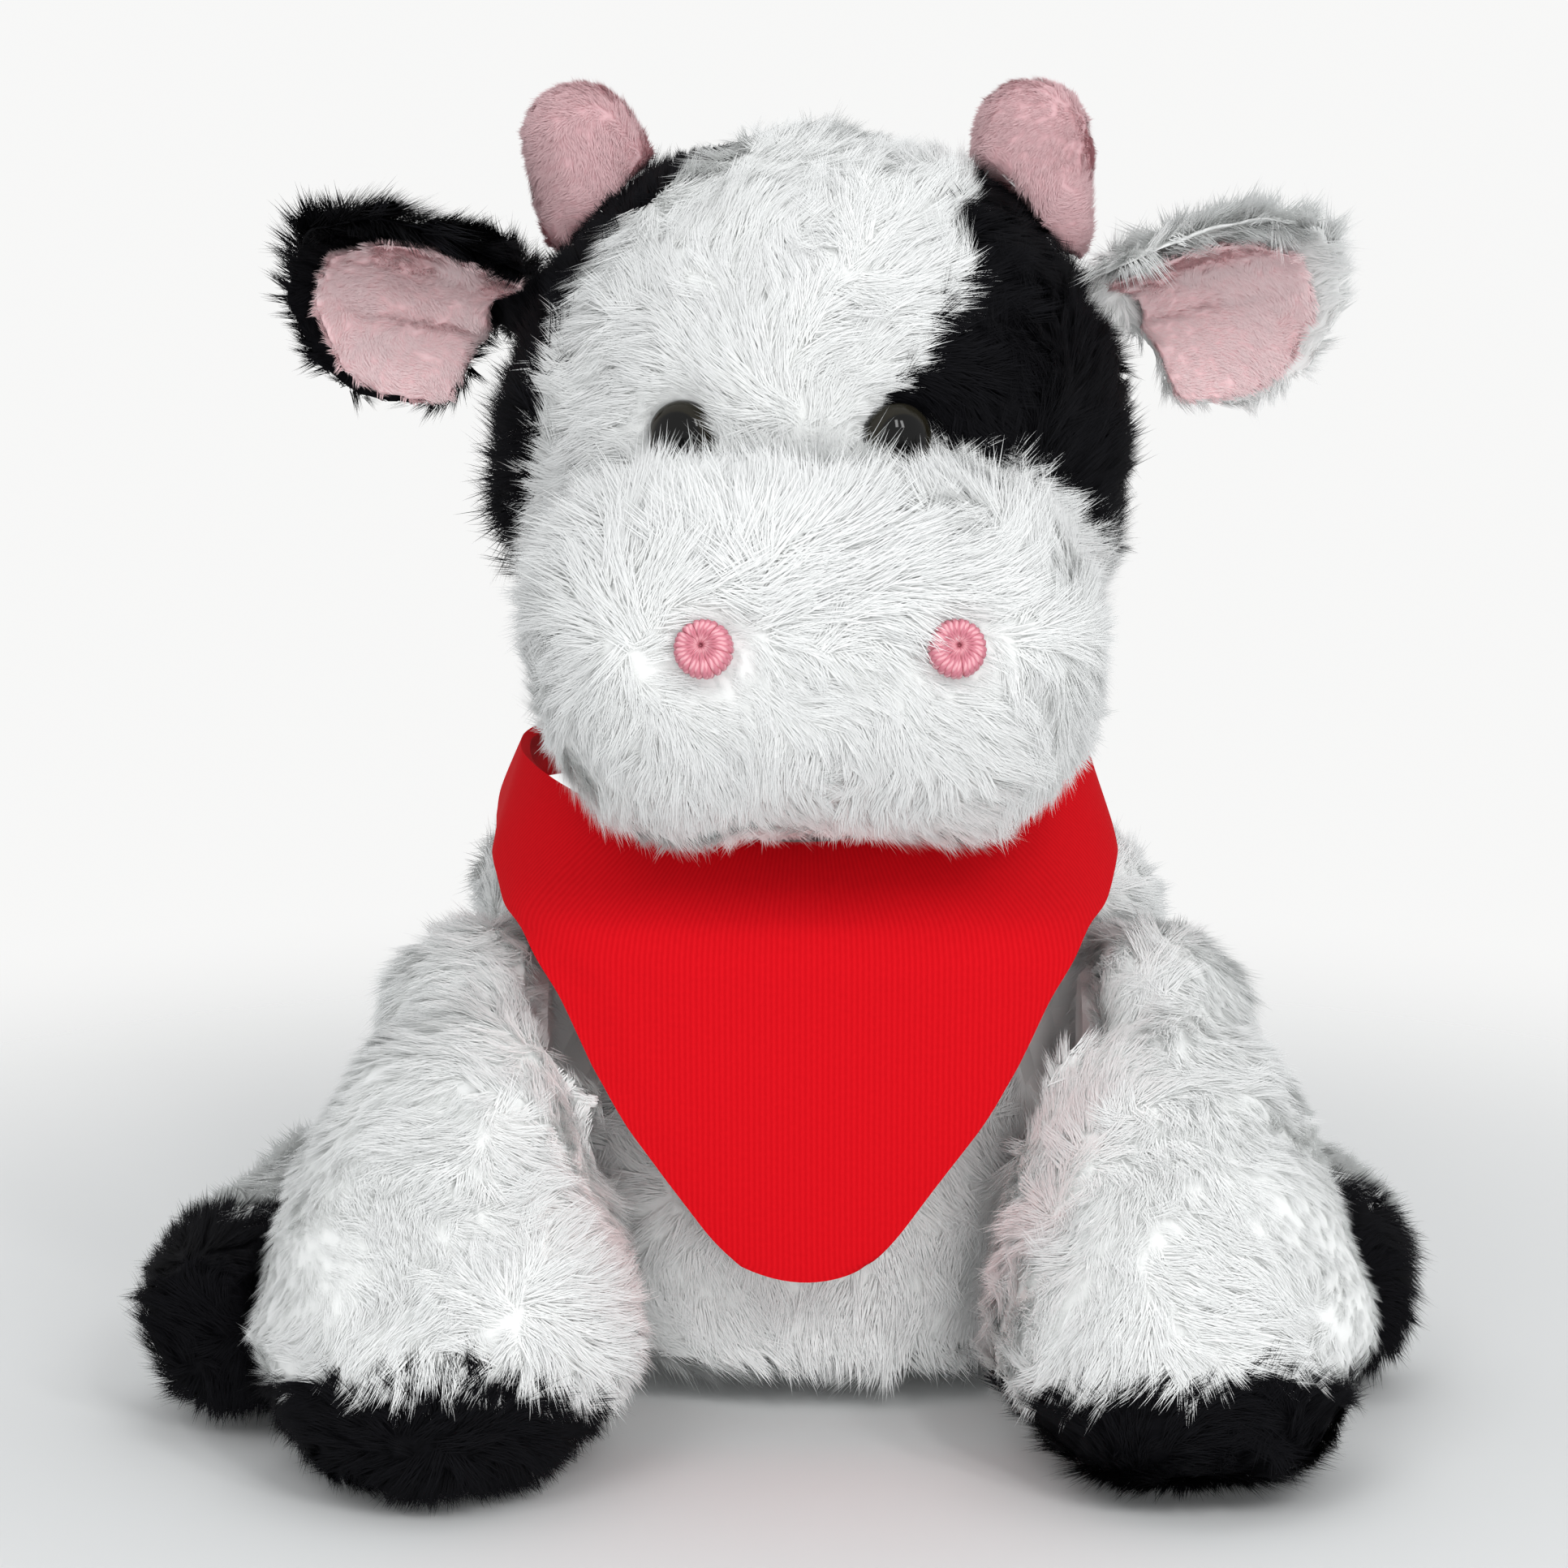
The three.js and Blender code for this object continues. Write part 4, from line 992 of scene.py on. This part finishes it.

# %% [markdown]
# ## Nostrils
#
# A nostril is a rosette of pink yarn: strands that leave its middle, run over the edge and end in the
# pile. Each strand is a tube whose map carries the twist of its two plies; the yarn is a darker pink in
# the grooves between the plies, as painted shade.

# %% Nostrils
STRANDS = 26
STRAND_SIDES = 8
PLIES = 2
TWISTS = 3
yarn_material, tree, shader = new_material("pink_yarn", 0.85)
_, across, up = map_parts(tree)
plies_across = maths(tree, "MULTIPLY", across, (STRANDS + 1) * PLIES)
turns = maths(tree, "MULTIPLY_ADD", up, TWISTS, plies_across)
twist = maths(tree, "SINE", maths(tree, "MULTIPLY", turns, 2 * math.pi))
# Darker pink where the twist's relief is low: painted shade in the grooves between plies
colour = ramp_between(tree, twist, (0.66, 0.23, 0.29), (0.88, 0.45, 0.50))
tree.links.new(colour, shader.inputs["Base Color"])
bump_from(tree, shader, twist, 0.5, 0.0002)


def rosette(name, node, seed):
    """Yarn strands over a low cushion. Their path is in shares of the rosette's radius and height."""
    points = corners_of(node)
    middle, axis = axis_of(points, True)
    turn = axis.to_track_quat("Z", "Y").to_matrix()
    along = (points - np.array(middle)) @ np.array(axis)
    bottom, height = float(along.min()), float(along.max() - along.min())
    aside = (points - np.array(middle)) - np.outer(along, axis)
    spread = float(np.linalg.norm(aside, axis=1).max())
    chance = random.Random(seed)
    path = [(0.03, 0.4), (0.12, 0.6), (0.3, 0.82), (0.52, 0.88), (0.7, 0.76), (0.8, 0.5), (0.82, 0.1)]
    made, faces, maps = [], [], []
    hub = Vector((chance.uniform(-0.14, 0.14), chance.uniform(0.04, 0.14), 0)) * spread

    def place(angle, share, lift):
        """A point over the cushion, in the frame of the head."""
        pulled = hub * (1 - share)
        flat = Vector((share * spread * math.cos(angle), share * spread * math.sin(angle), 0))
        return middle + turn @ (pulled + flat + Vector((0, 0, bottom + lift * height)))

    for strand in range(STRANDS):
        angle = 2 * math.pi * (strand + chance.uniform(-0.18, 0.18)) / STRANDS
        rise = chance.uniform(0.96, 1.06)
        line = [place(angle + 0.25 * share, share, lift * rise) for share, lift in path]
        first = len(made)
        for k, point in enumerate(line):
            ahead = (line[min(k + 1, len(line) - 1)] - line[max(k - 1, 0)]).normalized()
            aside = ahead.cross(axis).normalized()
            over = aside.cross(ahead)
            thick = spread * (0.008 + 0.15 * path[k][0])
            for corner in range(STRAND_SIDES):
                a = 2 * math.pi * corner / STRAND_SIDES
                made.append(point + thick * (aside * math.cos(a) + over * math.sin(a)))
        for k in range(len(line) - 1):
            for corner in range(STRAND_SIDES):
                n = (corner + 1) % STRAND_SIDES
                a0, b0 = first + k * STRAND_SIDES, first + (k + 1) * STRAND_SIDES
                faces.append((a0 + corner, a0 + n, b0 + n, b0 + corner))
                for c, r in ((corner, k), (corner + 1, k), (corner + 1, k + 1), (corner, k + 1)):
                    maps.append(((strand + c / STRAND_SIDES) / (STRANDS + 1), r / (len(line) - 1)))
        last = first + (len(line) - 1) * STRAND_SIDES
        faces.append(tuple(first + c for c in range(STRAND_SIDES))[::-1])
        faces.append(tuple(last + c for c in range(STRAND_SIDES)))
        maps += [((strand + 0.5) / (STRANDS + 1), 0.01 * c) for c in range(2 * STRAND_SIDES)]
    first = len(made)
    cushion = ((0.0, 0.4), (0.3, 0.62), (0.55, 0.62), (0.72, 0.4), (0.76, 0.0))
    for share, lift in cushion:
        made += [place(2 * math.pi * k / STRANDS, share + 0.001, lift) for k in range(STRANDS)]
    for ring in range(len(cushion) - 1):
        for k in range(STRANDS):
            n = (k + 1) % STRANDS
            a0, b0 = first + ring * STRANDS, first + (ring + 1) * STRANDS
            faces.append((a0 + k, b0 + k, b0 + n, a0 + n))
            maps += [(0.96, 0.2), (0.98, 0.2), (0.98, 0.3), (0.96, 0.3)]
    obj = mapped_object(name, made, faces, maps)
    shade_smooth(obj)
    scene.collection.objects.link(obj)
    obj.data.materials.append(yarn_material)
    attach(obj, "head")
    return obj


for seed, side in enumerate(("left", "right")):
    strands = rosette(f"nostril_{side}_strands", f"nostril_{side}", seed)
    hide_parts(f"nostril_{side}")
print("two rosettes with", STRANDS, "strands each")

# %% [markdown]
# ## Bandana
#
# The bandana is one sheet. Its points are found on the outside of the two solids: rays towards the neck
# give the band, and rays from the front give the hanging flap.


# %% Bandana
BAND_ROWS = 9
BACK_COLUMNS = 84
FLAP_COLUMNS = 45
FLAP_ROWS = 36
TIP_ROWS = 7
TIP_ARC = 0.0034
BAND_EDGE = 0.0004
FLAP_EDGE = 0.0006
OFF_SOLID = 0.0006
RAY_START = 0.3
RAY_REACH = 0.4
RIB = 0.001
CLOTH = 0.0018
band_tree, flap_tree = cloths
low, high = (Vector(v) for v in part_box("bandana_band"))
hub = Vector(((low.x + high.x) / 2, (low.y + high.y) / 2, 0))
flap_low, flap_high = (Vector(v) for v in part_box("bandana_flap"))


def band_hit(angle, z):
    """The outside of the band, seen from one side. Angle 0 is the front."""
    out = Vector((math.sin(angle), -math.cos(angle), 0))
    start = Vector((hub.x, hub.y, z)) + out * RAY_START
    return band_tree.ray_cast(start, -out, RAY_START)[0]


def flap_hit(x, z):
    return flap_tree.ray_cast(Vector((x, -RAY_START, z)), Vector((0, 1, 0)), RAY_REACH)[0]


def first_and_last(values, test):
    found = [value for value in values if test(value)]
    return (found[0], found[-1]) if found else None


heights = np.linspace(low.z, high.z, 90)
widths = np.linspace(flap_low.x, flap_high.x, 240)
flap_top = flap_high.z - FLAP_EDGE
rows_z = np.linspace(flap_top, flap_low.z + FLAP_EDGE, FLAP_ROWS)
spans = [first_and_last(widths, lambda x: flap_hit(x, z)) for z in rows_z]
# The last rows bend into a round tip that goes on from the slope above it
tip_start = FLAP_ROWS - 1 - TIP_ROWS
row_height = rows_z[0] - rows_z[1]
rise = TIP_ROWS * row_height
halves = [(right - left) / 2 for left, right in spans]
slope = (halves[tip_start - 2] - halves[tip_start]) / (2 * row_height)
curve = (2 * halves[tip_start] * slope - halves[tip_start] ** 2 / rise) / rise
opening = halves[tip_start] ** 2 / rise - curve * rise
tip_middle = sum(spans[tip_start]) / 2
sags = [0.0] * FLAP_ROWS
for row in range(tip_start + 1, FLAP_ROWS):
    share = (row - tip_start) / TIP_ROWS
    side_height = rise + (TIP_ARC - rise) * share
    sags[row] = side_height - rise * (1 - share)
    half = math.sqrt(opening * side_height + curve * side_height**2)
    spans[row] = (tip_middle - half, tip_middle + half)
top_left, top_right = spans[0]


def band_span(angle):
    """The heights of the band's lower and upper edges at an angle round the neck."""
    bottom, top = first_and_last(heights, lambda z: band_hit(angle, z))
    return bottom + BAND_EDGE, top - BAND_EDGE


def angle_at(x):
    """The angle round the neck at which the band's lower edge is at this x."""
    small, large = -1.4, 1.4
    for _ in range(14):
        angle = (small + large) / 2
        point = band_hit(angle, band_span(angle)[0])
        small, large = (angle, large) if point.x < x else (small, angle)
    return angle


front = [angle_at(x) for x in np.linspace(top_left, top_right, FLAP_COLUMNS)]
behind = list(np.linspace(front[-1], front[0] + 2 * math.pi, BACK_COLUMNS + 2))[1:-1]
columns = front + behind
points, faces, spots = [], [], []
reach = 0.0
for index, angle in enumerate(columns):
    bottom, top = band_span(angle)
    foot = band_hit(angle, bottom)
    if index >= FLAP_COLUMNS:
        reach += (foot - last).length
    across = foot.x - top_right if index < FLAP_COLUMNS else reach
    last = foot
    for row in range(BAND_ROWS):
        share = row / (BAND_ROWS - 1)
        points.append(band_hit(angle, bottom + (top - bottom) * share))
        spots.append((across, share * (top - bottom)))
seam = reach + (Vector(points[0]) - last).length
count = len(columns)
for column in range(count):
    near, far = column * BAND_ROWS, ((column + 1) % count) * BAND_ROWS
    for row in range(BAND_ROWS - 1):
        faces.append((near + row, far + row, far + row + 1, near + row + 1))
above = [column * BAND_ROWS for column in range(FLAP_COLUMNS)]
for middle_z, (left, right), sag in list(zip(rows_z, spans, sags))[1:]:
    row = []
    for column in range(FLAP_COLUMNS):
        share = 0.01 + 0.98 * column / (FLAP_COLUMNS - 1)
        x = left + (right - left) * share
        z = middle_z + sag * (2 * share - 1) ** 2
        row.append(len(points))
        points.append(flap_hit(x, z) or Vector((x, points[above[column]].y, z)))
        spots.append((x - top_right, z - flap_top))
    for column in range(FLAP_COLUMNS - 1):
        faces.append((row[column], row[column + 1], above[column + 1], above[column]))
    above = row
mesh = bpy.data.meshes.new("bandana")
mesh.from_pydata(points, [], faces)
knit_map = mesh.uv_layers.new(name="OFBake")
span_u = seam - (top_left - top_right)
for face in mesh.polygons:
    wraps = max(face.vertices) >= (count - 1) * BAND_ROWS and min(face.vertices) < BAND_ROWS
    for loop, corner in zip(face.loop_indices, face.vertices):
        u, v = spots[corner]
        if wraps and corner < BAND_ROWS:
            u = seam
        knit_map.data[loop].uv = ((u - (top_left - top_right)) / span_u, 0.5 + v / span_u)
flat_area = 0.0
for face in mesh.polygons:
    corners = [knit_map.data[loop].uv for loop in face.loop_indices]
    for here, there in zip(corners, corners[1:] + corners[:1]):
        flat_area += (here.x * there.y - there.x * here.y) / 2 * span_u**2
flat_area = abs(flat_area)
bandana = bpy.data.objects.new("bandana", mesh)
scene.collection.objects.link(bandana)
ease = bandana.modifiers.new("ease", "SMOOTH")
ease.factor = 0.5
ease.iterations = 5
evaluated(bandana)
for vertex in bandana.data.vertices:
    place = vertex.co
    fold = 0.0011 * noise.noise(Vector((place.x * 30, place.y * 30, place.z * 16 + 3)))
    vertex.co += vertex.normal * (fold + OFF_SOLID)
finer = bandana.modifiers.new("finer", "SUBSURF")
finer.levels = 1
finer.render_levels = 1
wall = bandana.modifiers.new("cloth", "SOLIDIFY")
wall.thickness = CLOTH
wall.offset = -1
hem = bandana.modifiers.new("hem", "BEVEL")
hem.width = CLOTH * 0.42
hem.segments = 3
hem.limit_method = "ANGLE"
hem.angle_limit = math.radians(50)
evaluated(bandana)
shade_smooth(bandana)

knit, tree, shader = new_material("red_knit", 0.9, 0.1)
cloth_map, across, _ = map_parts(tree)
ribs = maths(tree, "SINE", maths(tree, "MULTIPLY", across, 2 * math.pi * span_u / RIB))
loops = tree.nodes.new("ShaderNodeTexNoise")
loops.inputs["Scale"].default_value = 420
loops.inputs["Detail"].default_value = 2
tree.links.new(cloth_map, loops.inputs["Vector"])
height = maths(tree, "MULTIPLY_ADD", ribs, 0.5, loops.outputs["Fac"])
# Darker red where the knit's relief is low: painted shade in the valleys between ribs and loops
colour = ramp_between(tree, height, (0.61, 0.003, 0.008), (0.69, 0.005, 0.011), -0.1, 1.1)
tree.links.new(colour, shader.inputs["Base Color"])
bump_from(tree, shader, height, 0.1, 0.0003)
bandana.data.materials.append(knit)
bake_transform(bandana)
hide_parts("bandana_band", "bandana_flap")

# %% [markdown]
# ## The finished scene
#
# The tufts that were only copied from go away, and the overall size is found once more.

# %% Finish
bpy.data.collections.remove(hidden)
for source in [o for o in bpy.data.objects if not o.users_scene]:
    bpy.data.objects.remove(source)
low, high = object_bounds()
